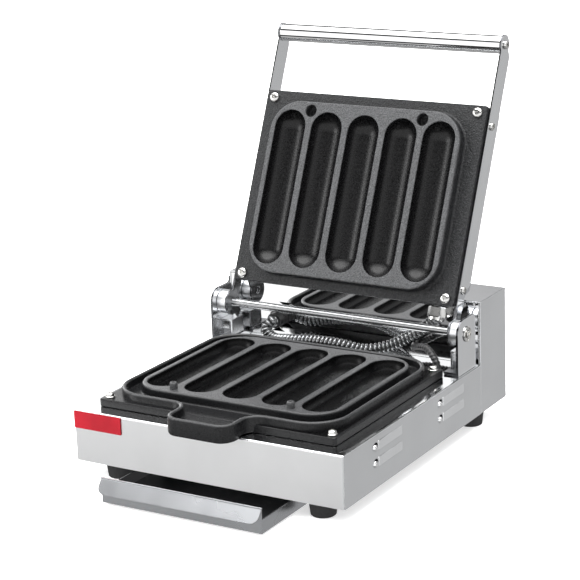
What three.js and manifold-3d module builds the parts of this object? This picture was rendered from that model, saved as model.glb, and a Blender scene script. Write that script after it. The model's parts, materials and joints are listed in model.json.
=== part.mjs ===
// Five-slot hot-dog waffle baker: hinged cast plates on a stainless housing, crumb tray below.
// Millimetres, +Z up. The housing's front panel faces -Y and its left side is at -X.
// Built from the housing's front bottom edge, then moved so that the origin is at the middle of the floor.
import * as THREE from 'three';
import { mergeVertices } from 'three/addons/utils/BufferGeometryUtils.js';
import Module from 'manifold-3d';

const wasm = await Module();
wasm.setup();

// ---------------------------------------------------------------- driving dimensions
const GAP = 0.3; // clearance between touching pieces
const SHEET = 1.5; // sheet steel thickness

const HOUSING = { width: 270, depth: 256, height: 47 };
const REAR_BOX = { depth: 54, height: 107 };
const FOOT = { height: 16, topRadius: 12.5, bottomRadius: 11, sideInset: 32, frontInset: 20 };
const REAR_FOOT = { sideInset: 17, fromSeam: 12 };

const HINGE = { y: 234, z: 83, rodRadius: 4, boltRadius: 3, boreRadius: 3.3, bushRadius: 11.5 };
const LEAN = THREE.MathUtils.degToRad(24.3); // the open lid's lean back from upright

const SLOT = { count: 5, pitch: 39.6, radius: 16.5, near: 38.6, far: 188.7, depth: 15 };
const ISLAND = { width: 202, near: 31, far: 198, cornerRadius: 30 };
const UPPER = { width: 235, near: 22, far: 209, slab: 7.5, face: 19, hole: 6, corner: 3 };
const LOWER = { width: 238, front: 15.5, rear: 213, slab: 7, top: 62.7, base: 42.5, corner: 3 };
const WALL = { width: 226, front: 19, rear: 212.4, top: 62, thickness: 4, cornerRadius: 34 };
const SPOUT = { x: 3, halfWidth: 33, front: -18, bottom: 45.5, floor: 52.5, fillet: 14 };
const PIN = { fromMiddle: 59.4, reach: 189, radius: 3.6, height: 6 };

const ARM = { inner: 117.8, thickness: 1.7, front: -4, back: 16, endRadius: 9.6, hingeRadius: 12.5 };
const HANDLE = { reach: 269, depth: 2, radius: 8.6 };
const LID_COVER = { width: 234.4, near: 25, far: 208, depth: 22 };
const COVER_RELIEF = { nearDepth: 11.3, depth: 8.6, reach: 31.5, farReach: 42 };
const BRACKET = { inner: 129.6, thickness: 2.4, front: 216, rear: 252, top: 98 };

const TRAY = { x: 3, width: 159, front: -44, length: 232, bottom: -13.6, wall: 12, sheet: 1.2 };
const TRAY_LIP = { top: 22.7, reach: 15, corner: 7, slope: THREE.MathUtils.degToRad(50) };
const ELEMENT = { radius: 4, halfWidth: 72, pitch: 36 };
const CONDUIT = { radius: 5.6, sides: 8, steps: 44, endX: 96, endDepth: 6.2, bore: 4.8 };
const LEAD = { radius: 3.4, sides: 8, steps: 18, holeX: 109, holeY: 219 };
const GLAND = { x: -77, z: 67, radius: 8.5, reach: 15 };

const UPPER_SCREWS = { x: 108.5, near: 28.5, far: 201.5 };
const LOWER_SCREWS = { x: 112, front: 23, rear: 206 };
const ARM_SCREWS = { depth: 3.2, top: 192, bottom: 39 }; // depth is behind the upper plate's back
const SCREW_SHANK = 2.3;
const SCREW_HOLE = 2.6;
const LOUVRE = { mouths: [54, 173.5], heights: [22, 36.3], length: 50, radius: 5.2, bulge: 3, sheet: 1 };

const KNOB = { radius: 16, height: 17, bore: 3.2, shaft: 3 };
const THERMOSTAT = { z: 78, width: 36, height: 30, depth: 26 };
const TIMER = { z: 32, width: 40, height: 34, depth: 32 };
const LAMPS = { z: 55, spread: 9, radius: 4 };
const INLET = { x: -70, z: 42, width: 27, height: 20 };
const SWITCH = { x: 70, z: 42, width: 20, height: 28 };
const ROCKER_TILT = THREE.MathUtils.degToRad(7); // switched off, its upper half pressed in

const half = HOUSING.width / 2;
const seam = HOUSING.depth;
const boxFront = seam + GAP;
const boxRear = boxFront + REAR_BOX.depth;
const deck = HOUSING.height;
const controlY = (boxFront + boxRear) / 2;

// ---------------------------------------------------------------- materials
const finish = (color, roughness, metalness) =>
  new THREE.MeshStandardMaterial({ color, roughness, metalness });
const stainless = finish(0xb9bcc0, 0.3, 1);
const polished = finish(0xd4d6d8, 0.12, 1);
const castCoated = finish(0x2b2d30, 0.6, 0.2);
const castSatin = finish(0x17181a, 0.42, 0.2);
const chrome = finish(0xe2e4e6, 0.08, 1);
const nickel = finish(0xcfcfca, 0.25, 1);
const rubber = finish(0x111112, 0.85, 0);
const darkSteel = finish(0x4a4c50, 0.5, 0.9);
const redLabel = finish(0xc8161d, 0.45, 0);
const blackPlastic = finish(0x151517, 0.45, 0);
const greyBraid = finish(0x6b6d70, 0.55, 0.6);
const amberLens = finish(0xd98a1c, 0.2, 0);
const greenLens = finish(0x2f9a46, 0.2, 0);

// ---------------------------------------------------------------- solid helpers
// A closed geometry as a solid that can be cut and joined.
function solid(geometry) {
  const bare = geometry.clone();
  bare.deleteAttribute('normal');
  bare.deleteAttribute('uv');
  const merged = mergeVertices(bare, 1e-4);
  return new wasm.Manifold(new wasm.Mesh({
    numProp: 3,
    vertProperties: Float32Array.from(merged.attributes.position.array),
    triVerts: Uint32Array.from(merged.index.array),
  }));
}

function surface(body) {
  const mesh = body.getMesh();
  const geometry = new THREE.BufferGeometry();
  geometry.setAttribute('position', new THREE.BufferAttribute(Float32Array.from(mesh.vertProperties), 3));
  geometry.setIndex(new THREE.BufferAttribute(Uint32Array.from(mesh.triVerts), 1));
  return geometry;
}

const join = (...geometries) => surface(geometries.map(solid).reduce((all, next) => all.add(next)));
const cut = (geometry, ...tools) =>
  surface(tools.map(solid).reduce((left, tool) => left.subtract(tool), solid(geometry)));

// A box between two corners.
function block(x0, x1, y0, y1, z0, z1) {
  return new THREE.BoxGeometry(x1 - x0, y1 - y0, z1 - z0)
    .translate((x0 + x1) / 2, (y0 + y1) / 2, (z0 + z1) / 2);
}

// A flat outline in X and Y, raised from z0 to z1.
function slab(outline, z0, z1, curveSegments = 6) {
  return new THREE.ExtrudeGeometry(outline, { depth: z1 - z0, bevelEnabled: false, curveSegments })
    .translate(0, 0, z0);
}

// A raised outline turned to stand up: its X becomes Y, its Y becomes Z and its thickness runs along X.
const standing = (geometry) => geometry.rotateX(Math.PI / 2).rotateZ(Math.PI / 2);

// A round bar along Z; the turned ones lie along X or Y.
const barZ = (radius, z0, z1, x = 0, y = 0, sides = 24) =>
  new THREE.CylinderGeometry(radius, radius, z1 - z0, sides).rotateX(Math.PI / 2)
    .translate(x, y, (z0 + z1) / 2);
const barX = (radius, x0, x1, y = 0, z = 0, sides = 24) =>
  new THREE.CylinderGeometry(radius, radius, x1 - x0, sides).rotateZ(Math.PI / 2)
    .translate((x0 + x1) / 2, y, z);
const barY = (radius, y0, y1, x = 0, z = 0, sides = 24) =>
  new THREE.CylinderGeometry(radius, radius, y1 - y0, sides).translate(x, (y0 + y1) / 2, z);

// A closed outline through [x, y, radius] corners, each rounded by its own arc.
function roundedOutline(corners) {
  const outline = new THREE.Shape();
  corners.forEach(([x, y, radius], i) => {
    const corner = new THREE.Vector2(x, y);
    const back = new THREE.Vector2(...corners.at(i - 1)).sub(corner).normalize();
    const ahead = new THREE.Vector2(...corners[(i + 1) % corners.length]).sub(corner).normalize();
    const halfAngle = Math.acos(THREE.MathUtils.clamp(back.dot(ahead), -1, 1)) / 2;
    const from = corner.clone().addScaledVector(back, radius / Math.tan(halfAngle));
    if (i === 0) outline.moveTo(from.x, from.y);
    else outline.lineTo(from.x, from.y);
    if (radius === 0) return;
    const to = corner.clone().addScaledVector(ahead, radius / Math.tan(halfAngle));
    const inward = back.clone().add(ahead).normalize();
    const centre = inward.multiplyScalar(radius / Math.sin(halfAngle)).add(corner);
    const start = from.clone().sub(centre).angle();
    const end = to.clone().sub(centre).angle();
    const clockwise = back.cross(ahead) > 0;
    outline.absarc(centre.x, centre.y, radius, start, end, clockwise);
  });
  return outline;
}

const roundedBox = (x0, x1, y0, y1, radius) =>
  roundedOutline([[x0, y0, radius], [x1, y0, radius], [x1, y1, radius], [x0, y1, radius]]);

// A tube or rod swept along a route, with flat ends.
function sweep(route, radius, sides, steps) {
  const section = new THREE.Shape();
  for (let i = 0; i < sides; i += 1) {
    const angle = (i / sides) * 2 * Math.PI;
    const point = [radius * Math.cos(angle), radius * Math.sin(angle)];
    if (i === 0) section.moveTo(...point);
    else section.lineTo(...point);
  }
  return new THREE.ExtrudeGeometry(section, { steps, extrudePath: route, bevelEnabled: false });
}

function routeThrough(points) {
  const knots = points.map((point) => new THREE.Vector3(...point));
  return new THREE.CatmullRomCurve3(knots, false, 'centripetal');
}

// A solid of revolution about Z, from [radius, z] points listed upwards.
function turned(profile, segments) {
  const points = profile.map(([radius, z]) => new THREE.Vector2(radius, z));
  return new THREE.LatheGeometry(points, segments).rotateX(Math.PI / 2);
}

// A screw standing on z = 0: domed head above, shank below.
function screw(headRadius, headHeight, shankLength) {
  return turned([
    [0, -shankLength], [SCREW_SHANK, -shankLength], [SCREW_SHANK, 0], [headRadius, 0],
    [headRadius, headHeight * 0.45], [headRadius * 0.72, headHeight], [0, headHeight],
  ], 12);
}

// ---------------------------------------------------------------- scene graph
const machine = new THREE.Group();
const lid = new THREE.Group(); // in here +Z runs up the arms and -Y is the way the upper plate faces
lid.position.set(0, HINGE.y, HINGE.z);
lid.rotation.x = -LEAN;
machine.add(lid);

function add(name, geometry, material, parent = machine) {
  const mesh = new THREE.Mesh(geometry, material);
  mesh.name = name;
  parent.add(mesh);
  return mesh;
}

const bothSides = [['left', -1], ['right', 1]];
const mirrored = (side, geometry) => (side > 0 ? geometry : mirrorX(geometry));

// The same piece on the other side: X changes sign and each triangle turns round.
function mirrorX(geometry) {
  const copy = (geometry.index ? geometry.toNonIndexed() : geometry.clone()).scale(-1, 1, 1);
  const position = copy.attributes.position;
  const flipped = new Float32Array(position.array.length);
  for (let i = 0; i < position.count; i += 3) {
    [0, 2, 1].forEach((from, to) => {
      for (let k = 0; k < 3; k += 1) flipped[(i + to) * 3 + k] = position.array[(i + from) * 3 + k];
    });
  }
  const turned = new THREE.BufferGeometry();
  turned.setAttribute('position', new THREE.BufferAttribute(flipped, 3));
  return mergeVertices(turned, 1e-4);
}

// ---------------------------------------------------------------- housing
// A pressed hood on the right side panel: open towards the front, fading out to the rear.
function louvreHood(mouthY, z, shrink) {
  const radius = LOUVRE.radius - shrink;
  return new THREE.ConeGeometry(radius, LOUVRE.length - 3 * shrink, 12)
    .scale((LOUVRE.bulge - shrink) / radius, 1, 1)
    .translate(half, mouthY + (LOUVRE.length - 3 * shrink) / 2, z);
}

function makeHousing() {
  const { depth, height } = HOUSING;
  const outer = block(-half, half, 0, depth, 0, height);
  const inside = block(-half + SHEET, half - SHEET, SHEET, depth + 1, -1, height - SHEET);
  const plateOpening = slab(roundedBox(-104, 104, 32, 205, 12), height - 5, height + 1);
  const leadExit = barZ(5, height - 5, height + 1, LEAD.holeX, LEAD.holeY);
  const spots = LOUVRE.mouths.flatMap((y) => LOUVRE.heights.map((z) => [y, z]));
  const right = spots.map(([y, z]) => louvreHood(y, z, 0));
  const hoods = [...right, ...right.map(mirrorX)];
  const innerRight = spots.map(([y, z]) => louvreHood(y - 0.5, z, LOUVRE.sheet));
  const hollows = [...innerRight, ...innerRight.map(mirrorX)];
  const shell = join(cut(outer, inside), ...hoods);
  add('base_housing', cut(shell, ...hollows, plateOpening, leadExit), stainless);
}

function makeBottomCover() {
  const sheet = block(-half + SHEET + GAP, half - SHEET - GAP, SHEET + GAP, seam - 4, GAP, GAP + SHEET);
  const drip = slab(roundedBox(TRAY.x - 62, TRAY.x + 62, 40, 170, 8), -1, 4, 3);
  const vents = [-1, 1].flatMap((side) => [0, 1, 2].map((i) =>
    block(side * 108 - 9, side * 108 + 9, 90 + i * 30, 98 + i * 30, -1, 4)));
  add('bottom_cover', cut(sheet, drip, ...vents), darkSteel);
}

function makeFeet() {
  const { height, topRadius, bottomRadius } = FOOT;
  const screwRecess = { radius: 5, top: 6 - height };
  const foot = turned([
    [0, screwRecess.top], [screwRecess.radius, screwRecess.top], [screwRecess.radius, -height],
    [bottomRadius, -height], [topRadius, -4], [topRadius, 0], [0, 0],
  ], 16);
  bothSides.forEach(([name, side]) => {
    add(`foot_front_${name}`, foot, rubber)
      .position.set(side * (half - FOOT.sideInset), FOOT.frontInset, 0);
    add(`foot_rear_${name}`, foot, rubber)
      .position.set(side * (half - REAR_FOOT.sideInset), boxFront + REAR_FOOT.fromSeam, 0);
  });
}

function makeBadge() {
  const badge = slab(roundedBox(-half + 0.5, -half + 50, 30.5, deck - 0.7, 0.8), 0, 0.8, 3);
  add('badge_plate', badge.rotateX(Math.PI / 2).translate(0, -GAP, 0), redLabel);
}

// ---------------------------------------------------------------- crumb tray
function makeTrayRunners() {
  const edge = TRAY.width / 2 + 1.5;
  const front = 48;
  const rear = seam - 8;
  const bottom = -15.2;
  const web = block(edge, edge + TRAY.sheet, front, rear, bottom, -0.2);
  const ledge = block(edge - 8, edge + TRAY.sheet, front, rear, bottom, bottom + TRAY.sheet);
  const flange = block(edge, edge + 13, front, rear, -0.2 - TRAY.sheet, -0.2);
  const runner = join(web, ledge, flange);
  bothSides.forEach(([name, side]) => {
    add(`tray_runner_${name}`, mirrored(side, runner), darkSteel).position.x = TRAY.x;
  });
}

function makeTray() {
  const { x, width, front, length, bottom, wall, sheet } = TRAY;
  const { top, reach, corner, slope } = TRAY_LIP;
  const left = x - width / 2;
  const right = x + width / 2;
  const rear = front + length;
  const pan = block(left, right, front, rear, bottom, bottom + wall);
  const inside = block(left + sheet, right - sheet, front + sheet, rear - sheet,
    bottom + sheet, bottom + wall + 1);
  const face = block(left, right, front, front + sheet, bottom, bottom + top);
  // The finger lip slopes forward and down from the top of the face; its free corners are rounded.
  const lipOutline = roundedOutline(
    [[left, -reach, corner], [right, -reach, corner], [right, 0, 0], [left, 0, 0]],
  );
  const lip = slab(lipOutline, -sheet, 0, 6).rotateX(slope).translate(0, front + sheet, bottom + top);
  add('crumb_tray', join(cut(pan, inside), face, lip), stainless);
}

// ---------------------------------------------------------------- cast plates
// Both plates are drawn face up: X across the slots, Y along them, Z out of the face.
const slotMiddles = Array.from({ length: SLOT.count }, (_, i) => (i - (SLOT.count - 1) / 2) * SLOT.pitch);

// The five cavities as one set of tools, their rims at the given height.
function slotTools(yMiddle, rim) {
  const straight = SLOT.far - SLOT.near - 2 * SLOT.radius;
  return slotMiddles.map((x) => new THREE.CapsuleGeometry(SLOT.radius, straight, 4, 16)
    .scale(1, 1, SLOT.depth / SLOT.radius).translate(x, yMiddle, rim));
}

const islandOutline = (near, far) =>
  roundedBox(-ISLAND.width / 2, ISLAND.width / 2, near, far, ISLAND.cornerRadius);

function makeUpperPlate() {
  const { width, near, far, slab: thick, face, hole, corner } = UPPER;
  const backing = slab(roundedBox(-width / 2, width / 2, near, far, corner), 0, thick, 4);
  const island = slab(islandOutline(ISLAND.near, ISLAND.far), thick - 1, face);
  const holes = [-1, 1].map((side) => barZ(hole, face - 9, face + 1, side * PIN.fromMiddle, PIN.reach, 20));
  const threads = [-1, 1].flatMap((side) => [UPPER_SCREWS.near, UPPER_SCREWS.far].map((y) =>
    barZ(SCREW_HOLE, -1, thick + 1, side * UPPER_SCREWS.x, y, 12)));
  const middle = (SLOT.near + SLOT.far) / 2;
  const plate = cut(join(backing, island), ...slotTools(middle, face), ...holes, ...threads);
  add('upper_plate', plate.rotateX(Math.PI / 2), castCoated, lid);
}

// The spill wall's outline, grown outwards by the given margin; it runs out into the pouring spout.
function spillOutline(margin) {
  const side = WALL.width / 2 + margin;
  const front = WALL.front - margin;
  const rear = WALL.rear + margin;
  const spout = SPOUT.halfWidth + margin;
  const tip = SPOUT.front - margin;
  const corner = WALL.cornerRadius + margin;
  return roundedOutline([
    [-side, rear, corner], [-side, front, corner],
    [SPOUT.x - spout, front, SPOUT.fillet - margin], [SPOUT.x - spout, tip, SPOUT.fillet + margin],
    [SPOUT.x + spout, tip, SPOUT.fillet + margin], [SPOUT.x + spout, front, SPOUT.fillet - margin],
    [side, front, corner], [side, rear, corner],
  ]);
}

function makeLowerPlate() {
  const { width, front, rear, slab: thick, top, base, corner } = LOWER;
  const bottom = deck + GAP;
  const near = HINGE.y - ISLAND.far;
  const far = HINGE.y - ISLAND.near;
  const flange = slab(roundedBox(-width / 2, width / 2, front, rear, corner), bottom, bottom + thick, 4);
  const well = slab(spillOutline(0), bottom, WALL.top);
  const channel = slab(spillOutline(-WALL.thickness), bottom + thick, WALL.top + 1);
  const spoutLip = slab(spillOutline(0), SPOUT.bottom, bottom + 1);
  const behindFace = block(-half, half, -GAP, seam, SPOUT.bottom - 1, bottom);
  const spoutFloor = slab(roundedBox(SPOUT.x - SPOUT.halfWidth + 4, SPOUT.x + SPOUT.halfWidth - 4,
    SPOUT.front + WALL.thickness, WALL.front + 6, 10), SPOUT.floor, WALL.top);
  const body = join(cut(spoutLip, behindFace), well, flange);
  const island = slab(islandOutline(near, far), bottom + thick - 1, top);
  const underside = slab(roundedBox(-99, 99, near + 2, far - 2, 10), base, bottom + 1, 4);
  const middle = HINGE.y - (SLOT.near + SLOT.far) / 2;
  const pinHoles = [-1, 1].map((side) =>
    barZ(PIN.radius - 1.2, top - 8, top + 1, side * PIN.fromMiddle, HINGE.y - PIN.reach, 12));
  const bolts = [-1, 1].flatMap((side) => [LOWER_SCREWS.front, LOWER_SCREWS.rear].map((y) =>
    barZ(SCREW_HOLE, bottom - 1, bottom + thick + 1, side * LOWER_SCREWS.x, y, 12)));
  add('lower_plate', cut(join(cut(body, channel, spoutFloor), island, underside),
    ...slotTools(middle, top), ...pinHoles, ...bolts), castSatin);
}

function makePlateScrews() {
  const corners = [['front', 'near'], ['rear', 'far']];
  bothSides.forEach(([name, side]) => {
    [['front', LOWER_SCREWS.front], ['rear', LOWER_SCREWS.rear]].forEach(([end, y]) => {
      add(`lower_plate_screw_${end}_${name}`, screw(4.4, 3.6, 6.5), nickel)
        .position.set(side * LOWER_SCREWS.x, y, deck + GAP + LOWER.slab + GAP);
    });
    [['top', UPPER_SCREWS.far], ['bottom', UPPER_SCREWS.near]].forEach(([end, v]) => {
      const upper = add(`upper_plate_screw_${end}_${name}`, screw(4.9, 2.8, 7), nickel, lid);
      upper.rotation.x = Math.PI / 2;
      upper.position.set(side * UPPER_SCREWS.x, -UPPER.slab - GAP, v);
    });
  });
}

function makeLocatingPins() {
  const { radius, height, fromMiddle, reach } = PIN;
  const spigot = radius - 1.5;
  const pin = turned([
    [0, -6], [spigot, -6], [spigot, 0], [radius, 0],
    [radius, height - 2], [radius * 0.7, height - 0.5], [0, height],
  ], 12);
  bothSides.forEach(([name, side]) => {
    add(`locating_pin_${name}`, pin, castSatin)
      .position.set(side * fromMiddle, HINGE.y - reach, LOWER.top + GAP);
  });
}

// A tubular heater bent into a flat serpentine, drawn in X and Y round its middle.
function heaterLoop(length) {
  const { halfWidth, pitch, radius } = ELEMENT;
  const reach = length / 2;
  const points = [];
  for (let x = -halfWidth, up = 1; x <= halfWidth + 1; x += pitch, up = -up) {
    points.push(...[-1, -0.5, 0.5, 1].map((share) => [x, reach * share * up, 0]));
  }
  return sweep(routeThrough(points), radius, 6, 44);
}

// A pressing plate that holds the heater against the casting, on four posts.
function heaterClamp(postHeight) {
  const sheet = block(-88, 88, -62, 62, -2, 0);
  const posts = [-1, 1].flatMap((sx) => [-1, 1].map((sy) => barZ(4, -1, postHeight, sx * 83, sy * 56, 12)));
  return join(sheet, ...posts);
}

function makeHeaters() {
  const lowerMiddle = HINGE.y - (ISLAND.near + ISLAND.far) / 2;
  const upperMiddle = (ISLAND.near + ISLAND.far) / 2;
  const gapFromCasting = ELEMENT.radius + GAP;
  add('lower_heating_element', heaterLoop(104), darkSteel)
    .position.set(0, lowerMiddle, LOWER.base - gapFromCasting);
  add('lower_heater_clamp', heaterClamp(2 * gapFromCasting - GAP), darkSteel)
    .position.set(0, lowerMiddle, LOWER.base - 2 * gapFromCasting);
  const upperElement = add('upper_heating_element', heaterLoop(104), darkSteel, lid);
  upperElement.rotation.x = Math.PI / 2;
  upperElement.position.set(0, gapFromCasting, upperMiddle);
  const upperClamp = add('upper_heater_clamp', heaterClamp(2 * gapFromCasting - GAP), darkSteel, lid);
  upperClamp.rotation.x = Math.PI / 2;
  upperClamp.position.set(0, 2 * gapFromCasting, upperMiddle);
}

// ---------------------------------------------------------------- lid frame
// The casing behind the upper plate. Its lower back edge is drawn in, to clear the rear box at rest.
function makeLidCover() {
  const { width, near, far, depth } = LID_COVER;
  const relief = COVER_RELIEF;
  // Each point: depth behind the plate's back, reach up the arms.
  const profile = (wall) => new THREE.Shape([
    [wall ? -1 : GAP, near + wall], [relief.nearDepth - 1.4 * wall, near + wall],
    [relief.depth - wall, relief.reach + 0.3 * wall], [depth - wall, relief.farReach + 0.7 * wall],
    [depth - wall, far - wall], [wall ? -1 : GAP, far - wall],
  ].map((point) => new THREE.Vector2(...point)));
  const casing = (outline, reach) => standing(slab(outline, -reach, reach));
  const wireHole = barZ(CONDUIT.bore - 1, near - 1, near + 3, CONDUIT.endX, CONDUIT.endDepth);
  const screwHoles = armScrewHoles(-width / 2 - 1, width / 2 + 1);
  const shell = cut(casing(profile(0), width / 2), casing(profile(SHEET), width / 2 - SHEET));
  add('lid_cover', cut(shell, wireHole, ...screwHoles), stainless, lid);
}

const armScrewHoles = (x0, x1) => [ARM_SCREWS.top, ARM_SCREWS.bottom].map((reach) =>
  barX(SCREW_HOLE, x0, x1, ARM_SCREWS.depth, reach, 12));

function makeArms() {
  const { inner, thickness, front, back, endRadius, hingeRadius } = ARM;
  const outerFace = inner + thickness;
  // Drawn in the arm's own plane: first axis towards the lid's back, second up the arm.
  // The strap narrows below, where it passes in front of the rear box's top edge.
  const neck = 8.5;
  const strap = roundedOutline([
    [front, 0, 0], [neck, 0, 0], [neck, 32, 6], [back, 46, 6],
    [back, HANDLE.reach - 7, 6], [HANDLE.depth + 4, HANDLE.reach + 2, 0], [front, HANDLE.reach, 0],
  ]);
  const flat = (outline) => standing(slab(outline, 0, thickness, 6)).translate(inner, 0, 0);
  const topDisc = barX(endRadius, inner, outerFace, HANDLE.depth, HANDLE.reach, 28);
  const hingeDisc = barX(hingeRadius, inner, outerFace, 0, 0, 32);
  const heel = block(inner, outerFace, -4, 4, -17.5, 0).rotateX(THREE.MathUtils.degToRad(36.9) + LEAN);
  const holes = [
    barX(HINGE.boreRadius, inner - 1, outerFace + 1),
    barX(SCREW_HOLE, inner - 1, outerFace + 1, HANDLE.depth, HANDLE.reach, 16),
    ...armScrewHoles(inner - 1, outerFace + 1),
  ];
  const arm = cut(join(flat(strap), topDisc, hingeDisc, heel), ...holes);
  bothSides.forEach(([name, side]) => add(`lid_arm_${name}`, mirrored(side, arm), stainless, lid));
}

function makeHandle() {
  const reach = ARM.inner - GAP;
  const bar = barX(HANDLE.radius, -reach, reach, 0, 0, 32);
  const threads = [-reach, reach].map((x) => barX(SCREW_HOLE, x - 14, x + 14, 0, 0, 12));
  add('lid_handle', cut(bar, ...threads), chrome, lid).position.set(0, HANDLE.depth, HANDLE.reach);
  const outerFace = ARM.inner + ARM.thickness;
  const outward = (geometry) => geometry.rotateY(Math.PI / 2).translate(outerFace + GAP, 0, 0);
  const handleScrew = outward(screw(4.2, 2.6, 14));
  const armScrew = outward(screw(4, 2.2, 8));
  bothSides.forEach(([name, side]) => {
    add(`handle_screw_${name}`, mirrored(side, handleScrew), nickel, lid)
      .position.set(0, HANDLE.depth, HANDLE.reach);
    ['top', 'bottom'].forEach((end) => {
      add(`arm_screw_${end}_${name}`, mirrored(side, armScrew), nickel, lid)
        .position.set(0, ARM_SCREWS.depth, ARM_SCREWS[end]);
    });
  });
}

function makeHinge() {
  const rodReach = ARM.inner - GAP;
  add('hinge_rod', barX(HINGE.rodRadius, -rodReach, rodReach, 0, 0, 20), chrome, lid);
  const { inner, thickness, front, rear, top } = BRACKET;
  const bushInner = ARM.inner + ARM.thickness + GAP;
  const bush = cut(barX(HINGE.bushRadius, bushInner, inner - GAP, HINGE.y, HINGE.z, 28),
    barX(HINGE.boreRadius, bushInner - 1, inner + 1, HINGE.y, HINGE.z, 20));
  const profile = roundedOutline([
    [front, deck + GAP, 0], [rear, deck + GAP, 0], [rear, top, 5], [front, top, 13],
  ]);
  const cheek = standing(slab(profile, 0, thickness, 8)).translate(inner, 0, 0);
  const foot = block(inner - 14, inner + 1, front + 3, rear - 3, deck + GAP, deck + GAP + thickness);
  const bore = barX(HINGE.boreRadius, inner - 1, inner + thickness + 1, HINGE.y, HINGE.z, 20);
  const bracket = cut(join(cheek, foot), bore);
  const bolt = join(
    barX(HINGE.boltRadius, ARM.inner + GAP, inner + thickness + 1, HINGE.y, HINGE.z, 16),
    cut(barX(5, inner + thickness + GAP, half - 0.2, HINGE.y, HINGE.z, 20),
      barX(2, half - 1.5, half + 1, HINGE.y, HINGE.z, 6)),
  );
  const ledge = block(inner - 12.4, inner - GAP, 230, 250, 64.2, 66.2);
  const post = block(inner - 12.4, inner - 10.4, 230, 250, deck + 2 * GAP + thickness, 65);
  const stop = join(ledge, post);
  bothSides.forEach(([name, side]) => {
    add(`hinge_bush_${name}`, mirrored(side, bush), polished);
    add(`hinge_bracket_${name}`, mirrored(side, bracket), stainless);
    add(`hinge_bolt_${name}`, mirrored(side, bolt), nickel);
    add(`lid_stop_${name}`, mirrored(side, stop), stainless);
  });
}

// ---------------------------------------------------------------- rear box and its controls
function makeRearBox() {
  const inner = half - SHEET;
  const tube = cut(block(-half, half, boxFront, boxRear, 0, REAR_BOX.height),
    block(-inner, inner, boxFront - 1, boxRear + 1, SHEET, REAR_BOX.height - SHEET));
  const leftHole = (radius, y, z) => barX(radius, -half - 1, -inner + 1, y, z, 20);
  const shaftHoles = [THERMOSTAT, TIMER].map(({ z }) => leftHole(KNOB.shaft + 1, controlY, z));
  const lampHoles = [-1, 1].map((end) =>
    leftHole(LAMPS.radius + GAP, controlY + end * LAMPS.spread, LAMPS.z));
  add('rear_box_shell', cut(tube, ...shaftHoles, ...lampHoles), stainless);
  const panel = (y) =>
    block(-inner + GAP, inner - GAP, y, y + SHEET, SHEET + GAP, REAR_BOX.height - SHEET - GAP);
  const frontWall = panel(boxFront + GAP);
  const wiring = block(-60, 60, boxFront - 1, boxFront + 4, 8, deck - 12);
  const glandHole = barY(6.3, boxFront - 1, boxFront + 4, GLAND.x, GLAND.z);
  add('rear_box_front_wall', cut(frontWall, wiring, glandHole), polished);
  const rearY = boxRear - GAP - SHEET;
  const opening = ({ x, z, width, height }) =>
    block(x - width / 2, x + width / 2, rearY - 1, boxRear + 1, z - height / 2, z + height / 2);
  const vents = Array.from({ length: 7 }, (_, i) => i * 12 - 36).map((x) =>
    block(x, x + 4, rearY - 1, boxRear + 1, 68, 92));
  add('rear_box_back_cover', cut(panel(rearY), opening(INLET), opening(SWITCH), ...vents), stainless);
}

// A knob turning about X on the left side: skirt, grip and a raised pointer.
function knob() {
  const skirt = barX(KNOB.radius, -3, 0, 0, 0, 32);
  const grip = barX(KNOB.radius * 0.72, -KNOB.height, -2, 0, 0, 24);
  const pointer = block(-KNOB.height - 0.8, -2, -2, 2, -KNOB.radius * 0.2, KNOB.radius * 0.92);
  return cut(join(skirt, grip, pointer), barX(KNOB.bore, -11, 1, 0, 0, 16));
}

function makeControls() {
  const inner = -half + SHEET;
  const body = ({ z, width, height, depth }) => join(
    block(inner + GAP, inner + depth, controlY - width / 2, controlY + width / 2,
      z - height / 2, z + height / 2),
    barX(KNOB.shaft, -half - 10, inner + 2, controlY, z, 16),
  );
  add('thermostat_body', body(THERMOSTAT), darkSteel);
  add('timer_body', body(TIMER), blackPlastic);
  add('thermostat_knob', knob(), blackPlastic).position.set(-half - 0.5, controlY, THERMOSTAT.z);
  add('timer_knob', knob(), blackPlastic).position.set(-half - 0.5, controlY, TIMER.z);
  const lamp = join(
    barX(LAMPS.radius, -half - 2, inner + 10, 0, 0, 16),
    barX(LAMPS.radius + 1.5, -half - 2, -half - GAP, 0, 0, 20),
  );
  add('power_lamp', lamp, greenLens).position.set(0, controlY - LAMPS.spread, LAMPS.z);
  add('heating_lamp', lamp, amberLens).position.set(0, controlY + LAMPS.spread, LAMPS.z);
}

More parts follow.
